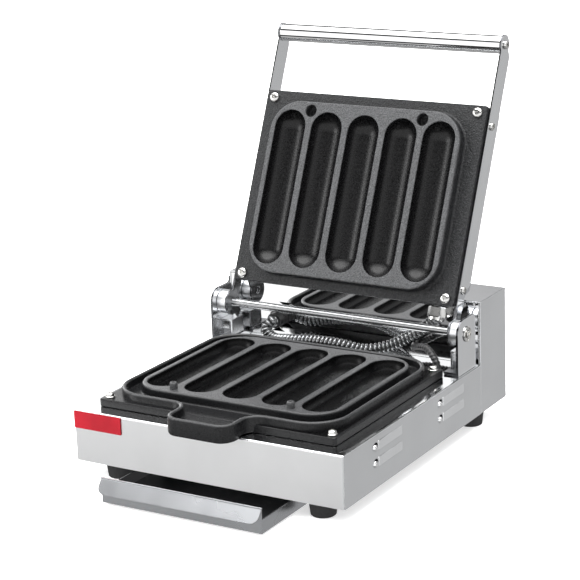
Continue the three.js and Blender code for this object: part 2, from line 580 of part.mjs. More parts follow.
function makeInletAndSwitch() {
  const outer = boxRear + 2;
  const frame = ({ width, height }, depth, flange) => join(
    block(-width / 2 + GAP, width / 2 - GAP, boxRear - depth, outer - 1,
      -height / 2 + GAP, height / 2 - GAP),
    block(-width / 2 - flange, width / 2 + flange, boxRear + 0.1, outer,
      -height / 2 - flange, height / 2 + flange),
  );
  const socket = block(-9, 9, boxRear - 12, outer + 1, -6, 6);
  const pins = [-6, 0, 6].map((x) => block(x - 1, x + 1, boxRear - 13, boxRear - 8, -2, 2));
  const inlet = join(cut(frame(INLET, 16, 4), socket), ...pins);
  add('power_inlet', inlet, blackPlastic).position.set(INLET.x, 0, INLET.z);
  const well = block(-8, 8, boxRear - 9, outer + 1, -11.5, 11.5);
  const axleSeat = barX(1.6, -9.3, 9.3, boxRear - 2, 0, 12);
  const surround = cut(frame(SWITCH, 14, 2), well, axleSeat);
  add('switch_frame', surround, blackPlastic).position.set(SWITCH.x, 0, SWITCH.z);
  // The rocker is drawn round its own axle: two faces at a shallow angle meet in the middle.
  const profile = roundedOutline([
    [-10.4, 1, 0], [0, -2.5, 0], [10.4, 1, 0], [10.4, 3.4, 0], [0, 5.2, 0], [-10.4, 3.4, 0],
  ]);
  const rocker = slab(profile, -7.5, 7.5).rotateY(Math.PI / 2);
  const part = add('power_rocker', join(rocker, barX(1.3, -9, 9, 0, 0, 12)), redLabel);
  part.position.set(SWITCH.x, boxRear - 2, SWITCH.z);
  part.rotation.x = ROCKER_TILT;
}

// ---------------------------------------------------------------- conduit and lead
function makeGland() {
  const { x, z, radius, reach } = GLAND;
  const nut = barY(radius, boxFront - 7, boxFront, x, z, 6);
  const ring = barY(radius - 1, boxFront - reach, boxFront - 6, x, z, 20);
  const tail = barY(6, boxFront - 1, boxFront + 9, x, z, 16);
  const bore = barY(CONDUIT.bore, boxFront - reach - 1, boxFront + 10, x, z, 16);
  add('conduit_gland', cut(join(nut, ring, tail), bore), blackPlastic);
}

// The point in the machine for a point of the lid: side to side, behind the plate's back, up the arms.
function lidPoint(x, depth, reach) {
  const y = HINGE.y + reach * Math.sin(LEAN) + depth * Math.cos(LEAN);
  const z = HINGE.z + reach * Math.cos(LEAN) - depth * Math.sin(LEAN);
  return [x, y, z];
}

function makeConduit() {
  const start = boxFront - GLAND.reach - 2 * GAP;
  const route = routeThrough([
    [GLAND.x, start, GLAND.z], [GLAND.x, start - 4, GLAND.z], [GLAND.x - 2, start - 11, GLAND.z - 5],
    [-68, 225, 56], [-48, 220, 58], [-20, 219, 61], [8, 219.5, 61], [30, 226, 57],
    [48, 237, 59], [64, 243, 67], [79, 246, 77], [90, 249, 86],
    lidPoint(CONDUIT.endX, CONDUIT.endDepth, LID_COVER.near - 7),
    lidPoint(CONDUIT.endX, CONDUIT.endDepth, LID_COVER.near - GAP),
  ]);
  add('power_conduit', sweep(route, CONDUIT.radius, CONDUIT.sides, CONDUIT.steps), greyBraid);
}

function makeLead() {
  const route = routeThrough([
    [LEAD.holeX, LEAD.holeY, deck + 1], [LEAD.holeX, LEAD.holeY, 55], [104, 221, 62],
    [95, 226, 67], [84, 233, 65], [74, 243, 60], [68, 254, 58],
  ]);
  add('sensor_lead', sweep(route, LEAD.radius, LEAD.sides, LEAD.steps), darkSteel);
}

// ---------------------------------------------------------------- build
makeHousing();
makeBottomCover();
makeFeet();
makeBadge();
makeTrayRunners();
makeTray();
makeLowerPlate();
makeUpperPlate();
makePlateScrews();
makeLocatingPins();
makeHeaters();
makeLidCover();
makeArms();
makeHandle();
makeHinge();
makeRearBox();
makeControls();
makeInletAndSwitch();
makeGland();
makeConduit();
makeLead();

// The origin goes under the middle of the whole machine, at floor level.
const extent = new THREE.Box3().setFromObject(machine, true);
machine.position.set(-(extent.min.x + extent.max.x) / 2, -(extent.min.y + extent.max.y) / 2, FOOT.height);

export default machine;
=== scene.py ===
"""Five-slot hot-dog waffle baker: the looks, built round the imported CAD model.

Shapes are drawn in the machine's own millimetres, as in the CAD source: X to the right, Y back from the front
panel, Z up from the housing's bottom edge. TO_ROW takes them to the row frame, LID from the lid's own axes.
"""
import json
import math

import bmesh
import bpy
from mathutils import Matrix, Vector

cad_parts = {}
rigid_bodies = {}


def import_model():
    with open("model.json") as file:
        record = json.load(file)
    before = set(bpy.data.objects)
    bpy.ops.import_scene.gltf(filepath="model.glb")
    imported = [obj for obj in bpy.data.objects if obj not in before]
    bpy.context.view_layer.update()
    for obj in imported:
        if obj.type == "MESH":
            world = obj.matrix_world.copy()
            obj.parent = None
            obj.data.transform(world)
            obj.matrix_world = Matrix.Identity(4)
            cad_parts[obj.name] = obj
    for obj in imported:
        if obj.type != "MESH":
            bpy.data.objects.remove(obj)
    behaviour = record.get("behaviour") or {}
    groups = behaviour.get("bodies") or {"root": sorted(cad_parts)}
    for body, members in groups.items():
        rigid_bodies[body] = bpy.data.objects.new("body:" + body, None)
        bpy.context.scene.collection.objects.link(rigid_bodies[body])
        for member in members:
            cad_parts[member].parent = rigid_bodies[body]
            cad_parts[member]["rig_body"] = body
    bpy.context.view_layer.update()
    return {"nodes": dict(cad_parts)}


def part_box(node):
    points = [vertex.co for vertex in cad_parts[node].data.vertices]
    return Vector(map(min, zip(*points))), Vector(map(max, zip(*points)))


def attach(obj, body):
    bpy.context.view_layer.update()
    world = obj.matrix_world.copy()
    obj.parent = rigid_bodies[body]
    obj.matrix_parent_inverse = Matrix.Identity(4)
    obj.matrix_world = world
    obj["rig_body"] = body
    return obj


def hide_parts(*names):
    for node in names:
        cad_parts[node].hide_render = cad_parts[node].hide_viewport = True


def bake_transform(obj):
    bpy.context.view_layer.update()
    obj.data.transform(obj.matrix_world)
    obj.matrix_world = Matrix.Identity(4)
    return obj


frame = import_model()
scene = bpy.context.scene

# ------------------------------------------------------------------ sizes, in millimetres
MM = 0.001
HALF = 135.0
DEPTH = 256.0
DECK = 47.0
SHEET = 1.5
GAP = 0.3
BOX_FRONT = DEPTH + GAP
HINGE_Y, HINGE_Z = 234.0, 83.0
LEAN = math.radians(24.3)

SLOT_COUNT, SLOT_PITCH, SLOT_RADIUS, SLOT_DEPTH = 5, 39.6, 16.5, 15.0
SLOT_NEAR, SLOT_FAR = 38.6, 188.7
ISLAND_HALF, ISLAND_NEAR, ISLAND_FAR, ISLAND_CORNER = 101.0, 31.0, 198.0, 30.0
UPPER_HALF, UPPER_NEAR, UPPER_FAR, UPPER_SLAB, UPPER_FACE = 117.5, 22.0, 209.0, 7.5, 19.0
LOWER_HALF, LOWER_FRONT, LOWER_REAR, LOWER_TOP = 119.0, 15.5, 213.0, 62.7
LOWER_BOTTOM = DECK + GAP
FLANGE_TOP = LOWER_BOTTOM + 7.0
LOWER_BASE, UNDERSIDE_HALF, UNDERSIDE_INSET, UNDERSIDE_CORNER = 42.5, 99, 2, 10
WALL_HALF, WALL_FRONT, WALL_REAR = 113.0, 19.0, 212.4
WALL_TOP, WALL_THICK, WALL_CORNER = 62.0, 4.0, 34.0
SPOUT_X, SPOUT_HALF, SPOUT_FRONT = 3.0, 33.0, -18.0
SPOUT_BOTTOM, SPOUT_FLOOR, SPOUT_FILLET = 45.5, 52.5, 14.0
PIN_X, PIN_REACH, PIN_RADIUS, PIN_HEIGHT, PIN_HOLE = 59.4, 189.0, 3.6, 6.0, 6.0
HANDLE_REACH, HANDLE_DEPTH, HANDLE_RADIUS = 269.0, 2.0, 8.6
ROD_RADIUS = 4.0
ARM_INNER, ARM_OUTER = 117.8, 119.5
BRACKET_OUTER = 132.0
OPENING_HALF, OPENING_FRONT, OPENING_REAR, OPENING_CORNER = 104, 32, 205, 12
UPPER_SCREW_X, UPPER_SCREW_REACHES = 108.5, (("top", 201.5), ("bottom", 28.5))
LOWER_SCREW_X, LOWER_SCREW_PLACES = 112, (("front", 23), ("rear", 206))
ARM_SCREW_DEPTH, ARM_SCREW_TOP, ARM_SCREW_BOTTOM = 3.2, 192, 39
LOUVRE_MOUTHS, LOUVRE_HEIGHTS = (54, 173.5), (22, 36.3)
LOUVRE_LENGTH, LOUVRE_HALF, LOUVRE_BULGE = 43.0, 4.3, 0.45
MOUTH_RADIUS, DOME_RADIUS, DOME_HEIGHT = 4.1, 3.2, 2.4
FOOT_BOTTOM, FOOT_TOP_RADIUS, FOOT_RECESS = -16.0, 12.5, -10.2
FRONT_FOOT_X, FRONT_FOOT_Y, REAR_FOOT_X, REAR_FOOT_Y = 103, 20, 118, 268.3
CONDUIT_X, CONDUIT_DEPTH, COVER_NEAR = 96.0, 6.2, 25.0
GLAND_X, GLAND_Z = -77, 67
BEND_START, BEND_END = Vector((48, 237, 59)), Vector((96, 249, 92))
LEAD_X, LEAD_Y, LEAD_HOLE = 109, 219, 5
TRAY_X, TRAY_HALF, TRAY_FRONT, TRAY_BOTTOM = 3.0, 79.5, -44.0, -13.6

# The photograph's view of the machine: angles in degrees, distances in millimetres.
VIEW = {
    "azimuth": 29.84, "elevation": 15.64, "roll": -1.67,
    "distance": 1805.69, "aside": 21.21, "above": 69.35,
}
VIEW_TARGET = Vector((0, 200, 60))
SENSOR, LENS, SHIFT_X, SHIFT_Y = 36.0, 121.52, -0.0948, -0.0259

box_low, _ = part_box("rear_box_shell")
TO_ROW = Matrix.Translation(box_low - Vector((-HALF, BOX_FRONT, 0)) * MM) @ Matrix.Scale(MM, 4)
LID = TO_ROW @ Matrix.Translation((0, HINGE_Y, HINGE_Z)) @ Matrix.Rotation(-LEAN, 4, "X")
# FACE is the upper plate's frame: X across the slots, Y up the arms, Z out of the plate's face.
FACE = LID @ Matrix.Rotation(math.pi / 2, 4, "X")
UPRIGHT = Vector((0, 0, 1))
OUTWARD = (FACE.to_3x3() @ UPRIGHT).normalized()


# ------------------------------------------------------------------ materials
def node(tree, kind, **settings):
    made = tree.nodes.new(kind)
    for key, value in settings.items():
        if key in made.inputs:
            made.inputs[key].default_value = value
        else:
            setattr(made, key, value)
    return made


def shader(name, color, roughness, metallic=0.0, **sockets):
    """A new node material with its Principled shader."""
    material = bpy.data.materials.new(name)
    material.use_nodes = True
    principled = material.node_tree.nodes["Principled BSDF"]
    principled.inputs["Base Color"].default_value = (*color, 1)
    principled.inputs["Roughness"].default_value = roughness
    principled.inputs["Metallic"].default_value = metallic
    for key, value in sockets.items():
        principled.inputs[key.replace("_", " ")].default_value = value
    return material, material.node_tree, principled


def noise(tree, scale, stretch=(1, 1, 1), detail=3.0):
    """Noise in the row frame; scale is in waves per metre along each axis, after the stretch."""
    place = node(tree, "ShaderNodeTexCoord")
    mapping = node(tree, "ShaderNodeMapping")
    mapping.inputs["Scale"].default_value = stretch
    tree.links.new(place.outputs["Object"], mapping.inputs["Vector"])
    texture = node(tree, "ShaderNodeTexNoise", Scale=scale, Detail=detail)
    tree.links.new(mapping.outputs["Vector"], texture.inputs["Vector"])
    return texture


def spread(tree, texture, low, high, low_value, high_value):
    """The texture's factor between low and high, as a number between two values."""
    ranged = node(tree, "ShaderNodeMapRange")
    ends = {"From Min": low, "From Max": high, "To Min": low_value, "To Max": high_value}
    for key, value in ends.items():
        ranged.inputs[key].default_value = value
    tree.links.new(texture.outputs["Fac"], ranged.inputs["Value"])
    return ranged.outputs["Result"]


def tint(tree, texture, low_color, high_color, low=0.35, high=0.65):
    ramp = node(tree, "ShaderNodeValToRGB")
    ramp.color_ramp.elements[0].position = low
    ramp.color_ramp.elements[1].position = high
    ramp.color_ramp.elements[0].color = (*low_color, 1)
    ramp.color_ramp.elements[1].color = (*high_color, 1)
    tree.links.new(texture.outputs["Fac"], ramp.inputs["Fac"])
    return ramp.outputs["Color"]


def bump(tree, principled, texture, strength, distance):
    bumped = node(tree, "ShaderNodeBump", Strength=strength, Distance=distance)
    tree.links.new(texture.outputs["Fac"], bumped.inputs["Height"])
    tree.links.new(bumped.outputs["Normal"], principled.inputs["Normal"])


def shade(color, factor):
    return tuple(min(1.0, channel * factor) for channel in color)


def blended(tree, factor, low, high):
    """A colour between two others, each a socket or a plain colour."""
    mixed = node(tree, "ShaderNodeMix", data_type="RGBA")
    tree.links.new(factor, mixed.inputs["Factor"])
    for key, value in (("A", low), ("B", high)):
        if isinstance(value, tuple):
            mixed.inputs[key].default_value = (*value, 1)
        else:
            tree.links.new(value, mixed.inputs[key])
    return mixed.outputs["Result"]


def ranged_value(tree, value, low, high):
    """The value's share of the way from low to high, from 0 to 1."""
    ranged = node(tree, "ShaderNodeMapRange")
    ranged.inputs["From Min"].default_value = low
    ranged.inputs["From Max"].default_value = high
    tree.links.new(value, ranged.inputs["Value"])
    return ranged.outputs["Result"]


def edge_shade_mask(tree):
    """1 on faces that look along X, 0 on the sheared edges round them, which get painted shade."""
    place = node(tree, "ShaderNodeTexCoord")
    axes = node(tree, "ShaderNodeSeparateXYZ")
    tree.links.new(place.outputs["Normal"], axes.inputs["Vector"])
    size = node(tree, "ShaderNodeMath", operation="ABSOLUTE")
    tree.links.new(axes.outputs["X"], size.inputs[0])
    return ranged_value(tree, size.outputs["Value"], 0.5, 0.9)


def brushed(name, color, roughness, stretch, grain=0.04, edge=None):
    """Rolled sheet steel: fine lines along the grain, faint smudges, and painted shade on the sheared edges
    in the edge colour.
    """
    material, tree, principled = shader(name, color, roughness, 1.0)
    lines = noise(tree, 1.0, stretch, 4.0)
    smudges = noise(tree, 14.0)
    colour = tint(tree, smudges, shade(color, 0.96), shade(color, 1.03))
    if edge:
        colour = blended(tree, edge_shade_mask(tree), edge, colour)
    tree.links.new(colour, principled.inputs["Base Color"])
    uneven = spread(tree, smudges, 0.3, 0.7, roughness - 0.04, roughness + 0.05)
    tree.links.new(uneven, principled.inputs["Roughness"])
    bump(tree, principled, lines, grain, 0.00005)
    return material


def cast(name, color, roughness, pitch, depth, strength, specular=0.5, top_highlight=None, ior=1.5):
    """A coated casting: a pebbled, speckled skin.

    The raised-top argument is a direction, two heights along it, and the colour that the skin has above the
    upper one: a painted highlight that makes the raised tops lighter.
    """
    material, tree, principled = shader(name, color, roughness, Specular_IOR_Level=specular, IOR=ior)
    pebbles = noise(tree, pitch, detail=2.0)
    speckle = noise(tree, pitch * 1.7, detail=1.0)
    colour = tint(tree, speckle, shade(color, 0.3), shade(color, 2.2))
    if top_highlight:
        direction, low, high, top = top_highlight
        place = node(tree, "ShaderNodeTexCoord")
        along = node(tree, "ShaderNodeVectorMath", operation="DOT_PRODUCT")
        along.inputs[1].default_value = direction
        tree.links.new(place.outputs["Object"], along.inputs[0])
        rise = ranged_value(tree, along.outputs["Value"], low, high)
        colour = blended(tree, rise, colour, tint(tree, speckle, shade(top, 0.55), shade(top, 1.5)))
    tree.links.new(colour, principled.inputs["Base Color"])
    uneven = spread(tree, pebbles, 0.35, 0.65, roughness - 0.06, roughness + 0.06)
    tree.links.new(uneven, principled.inputs["Roughness"])
    bump(tree, principled, pebbles, strength, depth)
    return material


def plated(name, color, roughness, wave=0.03):
    """Bright plating with very faint waves."""
    material, tree, principled = shader(name, color, roughness, 1.0)
    waves = noise(tree, 60.0)
    uneven = spread(tree, waves, 0.3, 0.7, roughness * 0.8, roughness * 1.3)
    tree.links.new(uneven, principled.inputs["Roughness"])
    bump(tree, principled, waves, wave, 0.0002)
    return material


def moulded(name, color, roughness, grain=0.0001, **sockets):
    """Moulded plastic or rubber with a fine grain."""
    material, tree, principled = shader(name, color, roughness, 0.0, **sockets)
    fine = noise(tree, 1800.0)
    broad = noise(tree, 30.0)
    colour = tint(tree, broad, shade(color, 0.9), shade(color, 1.12))
    tree.links.new(colour, principled.inputs["Base Color"])
    bump(tree, principled, fine, 0.25, grain)
    return material


def height_along(place, direction, height):
    """How far along the direction a height above a frame's origin plane lies, in metres."""
    return (place @ Vector((0, 0, height))).dot(direction)


# The housing's steel is one steel drawn in several copies, one for each way its faces look: painted light on
# the front, the deck and the louvre hoods, painted shade on the upward faces of the box and lid cover and
# inside the tray.
STEEL = brushed("stainless", (0.74, 0.75, 0.765), 0.22, (9, 9, 2600))
POLISHED = plated("polished_wall", (0.86, 0.865, 0.87), 0.012, 0.0)
DECK_STEEL_LIGHT = brushed("stainless_deck_light", (0.88, 0.885, 0.89), 0.07, (9, 9, 9), 0.0)
FRONT_STEEL_LIGHT = brushed("stainless_front_light", (0.86, 0.865, 0.87), 0.32, (9, 9, 2600), 0.02)
TOP_STEEL_SHADE = brushed("stainless_top_shade", (0.36, 0.365, 0.375), 0.25, (9, 9, 9), 0.0)
TRAY_INSIDE_SHADE = brushed("stainless_tray_inside_shade", (0.035, 0.035, 0.037), 0.35, (9, 9, 9), 0.0)
LOUVRE_STEEL_LIGHT = brushed("stainless_louvre_light", (0.86, 0.87, 0.885), 0.22, (9, 9, 2600))
TRAY_STEEL = brushed("stainless_tray", (0.44, 0.45, 0.465), 0.24, (9, 9, 9), 0.0)
# The arms and brackets have a dark colour on their sheared edges: painted shade.
ARM_STEEL = brushed("stainless_arm", (0.78, 0.79, 0.805), 0.13, (9, 9, 9), 0.0, edge=(0.12, 0.122, 0.13))
BUSH_STEEL = brushed("stainless_bush", (0.80, 0.81, 0.825), 0.32, (9, 9, 9), 0.0)
DARK_STEEL = brushed("dark_steel", (0.20, 0.205, 0.215), 0.42, (9, 1300, 9))
# The castings' raised tops, above these heights, get a lighter colour: a painted highlight.
LOWER_TOP_HIGHLIGHT = (
    UPRIGHT, height_along(TO_ROW, UPRIGHT, LOWER_TOP - 2.5), height_along(TO_ROW, UPRIGHT, LOWER_TOP),
    (0.045, 0.0455, 0.047))
UPPER_TOP_HIGHLIGHT = (
    OUTWARD, height_along(FACE, OUTWARD, UPPER_FACE - 4), height_along(FACE, OUTWARD, UPPER_FACE),
    (0.052, 0.053, 0.055))
LOWER_CAST = cast("satin_black_cast", (0.0045, 0.0046, 0.005), 0.32, 900.0, 0.0002, 0.3, 0.3, LOWER_TOP_HIGHLIGHT)
# Darker copies of the castings for the slot cavities: painted shade in the recesses.
LOWER_CAVITY_SHADE = cast("satin_black_cavity_shade", (0.0012, 0.0012, 0.0013), 0.30, 900.0, 0.0002, 0.3, 0.5, ior=1.24)
UPPER_CAST = cast("pebbled_black_cast", (0.009, 0.0093, 0.010), 0.38, 620.0, 0.0009, 1.0, 0.30, UPPER_TOP_HIGHLIGHT)
UPPER_CAVITY_SHADE = cast("pebbled_black_cavity_shade", (0.0025, 0.0025, 0.0027), 0.27, 620.0, 0.0003, 0.35, 0.3)
CHROME = plated("chrome", (0.88, 0.885, 0.89), 0.03, 0.0)
# A darker copy of the chrome for the hinge rod: painted shade.
ROD_CHROME_SHADE = plated("rod_chrome_shade", (0.36, 0.365, 0.37), 0.22, 0.0)
NICKEL = plated("bright_nickel", (0.66, 0.655, 0.64), 0.14)
CONDUIT_STEEL = plated("conduit_steel", (0.24, 0.245, 0.25), 0.20)
# Near-black for the conduit's grooves: painted shade.
GROOVE_SHADE = shader("conduit_groove_shade", (0.004, 0.004, 0.004), 0.7)[0]
RUBBER = moulded("black_rubber", (0.012, 0.012, 0.0125), 0.7)
PLASTIC = moulded("black_plastic", (0.016, 0.016, 0.017), 0.38)
RED_PLATE = moulded("red_label", (0.25, 0.003, 0.010), 0.4, 0.00003, Specular_IOR_Level=0.15)
RED_ROCKER = moulded("red_rocker", (0.55, 0.01, 0.012), 0.22, 0.00003, Transmission_Weight=0.15)
GREEN_LENS = moulded("green_lens", (0.03, 0.32, 0.08), 0.12, 0.00002, Transmission_Weight=0.3)
AMBER_LENS = moulded("amber_lens", (0.70, 0.26, 0.02), 0.12, 0.00002, Transmission_Weight=0.3)
BRAID = moulded("braided_sleeve", (0.010, 0.010, 0.0105), 0.30, 0.0001)


# ------------------------------------------------------------------ mesh helpers
WELD_DISTANCE = 0.02 * MM
FLAT_ANGLE, EDGE_ANGLE = math.radians(0.6), math.radians(32)


def arc(centre, radius, start, end, steps):
    """Points along an arc in the XY plane, its ends included."""
    angles = [start + (end - start) * i / steps for i in range(steps + 1)]
    return [(centre[0] + radius * math.cos(a), centre[1] + radius * math.sin(a)) for a in angles]


def rounded(corners, steps=8):
    """A closed outline through (x, y, radius) corners. A corner of radius 0 stays one point."""
    outline = []
    for i, (x, y, radius) in enumerate(corners):
        if radius <= 0:
            outline.append((x, y))
            continue
        corner = Vector((x, y))
        back = (Vector(corners[i - 1][:2]) - corner).normalized()
        ahead = (Vector(corners[(i + 1) % len(corners)][:2]) - corner).normalized()
        half_angle = back.angle(ahead) / 2
        centre = corner + (back + ahead).normalized() * (radius / math.sin(half_angle))
        reach = radius / math.tan(half_angle)
        first = corner + back * reach - centre
        last = corner + ahead * reach - centre
        start = math.atan2(first.y, first.x)
        turn = math.atan2(first.cross(last), first.dot(last))
        outline += arc(centre, radius, start, start + turn, steps)
    return outline


def rounded_box(x0, x1, y0, y1, radius, steps=8):
    return rounded([(x0, y0, radius), (x1, y0, radius), (x1, y1, radius), (x0, y1, radius)], steps)


def circle(x, y, radius, count=24):
    turns = [2 * math.pi * i / count for i in range(count)]
    return [(x + radius * math.cos(a), y + radius * math.sin(a)) for a in turns]


def stadium(x, near, far, radius, steps=14):
    """Round-ended slot outline along Y, between two end-circle centres."""
    near_end = arc((x, near), radius, math.pi, 2 * math.pi, steps)
    return near_end + arc((x, far), radius, 0, math.pi, steps)


def level(outline, z):
    """Raises a flat outline to z, which is a number or a function of the point."""
    return [(x, y, z(x, y) if callable(z) else z) for x, y in outline]


def loft(bm, loops, closed=True):
    """Quads between loops of equal count; returns the rings of vertices."""
    rings = [[bm.verts.new(point) for point in loop] for loop in loops]
    count = len(rings[0])
    for low, high in zip(rings, rings[1:]):
        for i in range(count if closed else count - 1):
            j = (i + 1) % count
            bm.faces.new((low[i], low[j], high[j], high[i]))
    return rings


def fill(bm, *rings):
    """A flat face inside the first ring, with the others as holes, as triangles."""
    edges = []
    for ring in rings:
        for i, vertex in enumerate(ring):
            pair = (vertex, ring[(i + 1) % len(ring)])
            edges.append(bm.edges.get(pair) or bm.edges.new(pair))
    bmesh.ops.triangle_fill(bm, use_beauty=True, use_dissolve=False, edges=edges)


def lathe(bm, profile, count=32):
    """A solid of revolution about Z from (radius, z) points; radius 0 is a pole."""
    rings = []
    for radius, z in profile:
        if radius == 0:
            rings.append([bm.verts.new((0, 0, z))])
        else:
            rings.append([bm.verts.new((x, y, z)) for x, y in circle(0, 0, radius, count)])
    for low, high in zip(rings, rings[1:]):
        for i in range(count):
            j = (i + 1) % count
            if len(low) == 1 and len(high) > 1:
                bm.faces.new((low[0], high[j], high[i]))
            elif len(high) == 1 and len(low) > 1:
                bm.faces.new((low[i], low[j], high[0]))
            elif len(low) > 1:
                bm.faces.new((low[i], low[j], high[j], high[i]))
    return rings


def prism(bm, outline, z0, z1):
    low, high = loft(bm, [level(outline, z0), level(outline, z1)])
    fill(bm, low)
    fill(bm, high)


def new_object(name, bm, place=None):
    """The bmesh as an object, moved by place."""
    bmesh.ops.recalc_face_normals(bm, faces=bm.faces[:])
    mesh = bpy.data.meshes.new(name)
    bm.to_mesh(mesh)
    bm.free()
    if place is not None:
        mesh.transform(place)
    made = bpy.data.objects.new(name, mesh)
    scene.collection.objects.link(made)
    return made


def finish(made, material, body, replaces=(), angle=35, bevel=0.0, segments=2):
    """Shading, an optional edge round in millimetres, the material, and what the piece rides on."""
    mesh = made.data
    mesh.materials.clear()
    mesh.materials.append(material)
    for face in mesh.polygons:
        face.use_smooth = True
        face.material_index = 0
    if bevel:
        rounding = made.modifiers.new("edge_round", "BEVEL")
        rounding.width = bevel * MM
        rounding.segments = segments
        rounding.limit_method = "ANGLE"
        rounding.angle_limit = EDGE_ANGLE
        rounding.use_clamp_overlap = False
        rounding.harden_normals = True
        rounding.miter_outer = "MITER_ARC"
    else:
        mesh.set_sharp_from_angle(angle=math.radians(angle))
        weighted = made.modifiers.new("face_weights", "WEIGHTED_NORMAL")
        weighted.keep_sharp = True
    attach(made, body)
    if replaces:
        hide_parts(*replaces)
    return made


def refined(cad_name, material, bevel=0.3, segments=2, merged=True):
    """A CAD node's own shape, its edges rounded by bevel millimetres.

    Where merged, its triangles are joined into flat faces first.
    """
    source = frame["nodes"][cad_name]
    bm = bmesh.new()
    bm.from_mesh(source.data)
    bmesh.ops.remove_doubles(bm, verts=bm.verts[:], dist=WELD_DISTANCE)
    if merged:
        bmesh.ops.dissolve_limit(bm, angle_limit=FLAT_ANGLE, verts=bm.verts[:], edges=bm.edges[:])
    made = new_object(cad_name + "_finished", bm)
    if "custom_normal" in made.data.attributes:
        made.data.attributes.remove(made.data.attributes["custom_normal"])
    body = source["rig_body"]
    return finish(made, material, body, (cad_name,), bevel=bevel, segments=segments)


def boolean(target, tools, operation):
    """Applies exact booleans to target and removes the tools."""
    for tool in tools:
        modifier = target.modifiers.new("shape", "BOOLEAN")
        modifier.object = tool
        modifier.operation = operation
        modifier.solver = "EXACT"
    bpy.context.view_layer.update()
    graph = bpy.context.evaluated_depsgraph_get()
    shaped = bpy.data.meshes.new_from_object(target.evaluated_get(graph))
    target.modifiers.clear()
    target.data = shaped
    for tool in tools:
        bpy.data.objects.remove(tool)


# ------------------------------------------------------------------ cast plates
def slot_rings(bm, middle_near, middle_far, rim_z, lip=0.8):
    """The five cavities below rim_z; returns their rim rings."""
    rims = []
    for i in range(SLOT_COUNT):
        x = (i - (SLOT_COUNT - 1) / 2) * SLOT_PITCH
        loops = []
        for k in range(4):
            a = math.pi / 2 * k / 4
            outline = stadium(x, middle_near, middle_far, SLOT_RADIUS + lip * (1 - math.sin(a)))
            loops.append(level(outline, rim_z - lip * (1 - math.cos(a))))
        for k in range(13):
            a = math.radians(86) * k / 12
            outline = stadium(x, middle_near, middle_far, SLOT_RADIUS * math.cos(a))
            loops.append(level(outline, rim_z - (lip + (SLOT_DEPTH - lip) * math.sin(a))))
        rings = loft(bm, loops)
        fill(bm, rings[-1])
        rims.append(rings[0])
    return rims


def shade_cavities(made, material, place, near, far, rim):
    """Gives the cavities' faces a darker copy of the casting's material, painted shade in the recesses; place
    takes the plate's millimetres to the row frame.
    """
    to_plate = place.inverted()
    made.data.materials.append(material)
    for face in made.data.polygons:
        x, along, height = to_plate @ face.center
        lane = min(SLOT_COUNT - 1, max(0, round(x / SLOT_PITCH + (SLOT_COUNT - 1) / 2)))
        aside = x - (lane - (SLOT_COUNT - 1) / 2) * SLOT_PITCH
        beyond = along - min(max(along, near + SLOT_RADIUS), far - SLOT_RADIUS)
        if height < rim - 0.7 and math.hypot(aside, beyond) < SLOT_RADIUS + 0.1:
            face.material_index = 1


def island_outline(near, far, margin):
    half = ISLAND_HALF + margin
    return rounded_box(-half, half, near - margin, far + margin, ISLAND_CORNER + margin, 14)


def island_loops(near, far, floor, top, edge=1.4, foot=1.8):
    """The raised island's side: from the foot fillet on the floor up over the rounded edge."""
    loops = []
    for k in range(4):
        a = math.pi / 2 * k / 3
        outline = island_outline(near, far, foot * (1 - math.sin(a)))
        loops.append(level(outline, floor + foot * (1 - math.cos(a))))
    for k in range(5):
        a = math.pi / 2 * k / 4
        outline = island_outline(near, far, -edge * (1 - math.cos(a)) - 0.2)
        loops.append(level(outline, top - edge * (1 - math.sin(a))))
    return loops


def spill_outline(margin):
    """The spill wall's outline grown outwards by margin; it runs out into the pouring spout."""
    side, front, rear = WALL_HALF + margin, WALL_FRONT - margin, WALL_REAR + margin
    left, right, tip = SPOUT_X - SPOUT_HALF - margin, SPOUT_X + SPOUT_HALF + margin, SPOUT_FRONT - margin
    corner, inner, outer = WALL_CORNER + margin, SPOUT_FILLET - margin, SPOUT_FILLET + margin
    return rounded([
        (-side, rear, corner), (-side, front, corner),
        (left, front, inner), (left, -GAP, 0), (left, -GAP - 0.02, 0), (left, tip, outer),
        (right, tip, outer), (right, -GAP - 0.02, 0), (right, -GAP, 0), (right, front, inner),
        (side, front, corner), (side, rear, corner),
    ], 12)


def channel_floor(_, y):
    """The channel's height: level round the island, falling into the spout."""
    fall = max(0.0, min(1.0, (WALL_FRONT - y) / 16))
    return FLANGE_TOP - (FLANGE_TOP - SPOUT_FLOOR) * fall


def wall_base(_, y):
    """How far down the wall's outer side goes: over the spout's nose, the deck and inside the flange."""
    if y < -GAP - 0.01:
        return SPOUT_BOTTOM
    return LOWER_BOTTOM + 0.05 if y < LOWER_FRONT + 1 else LOWER_BOTTOM + 3


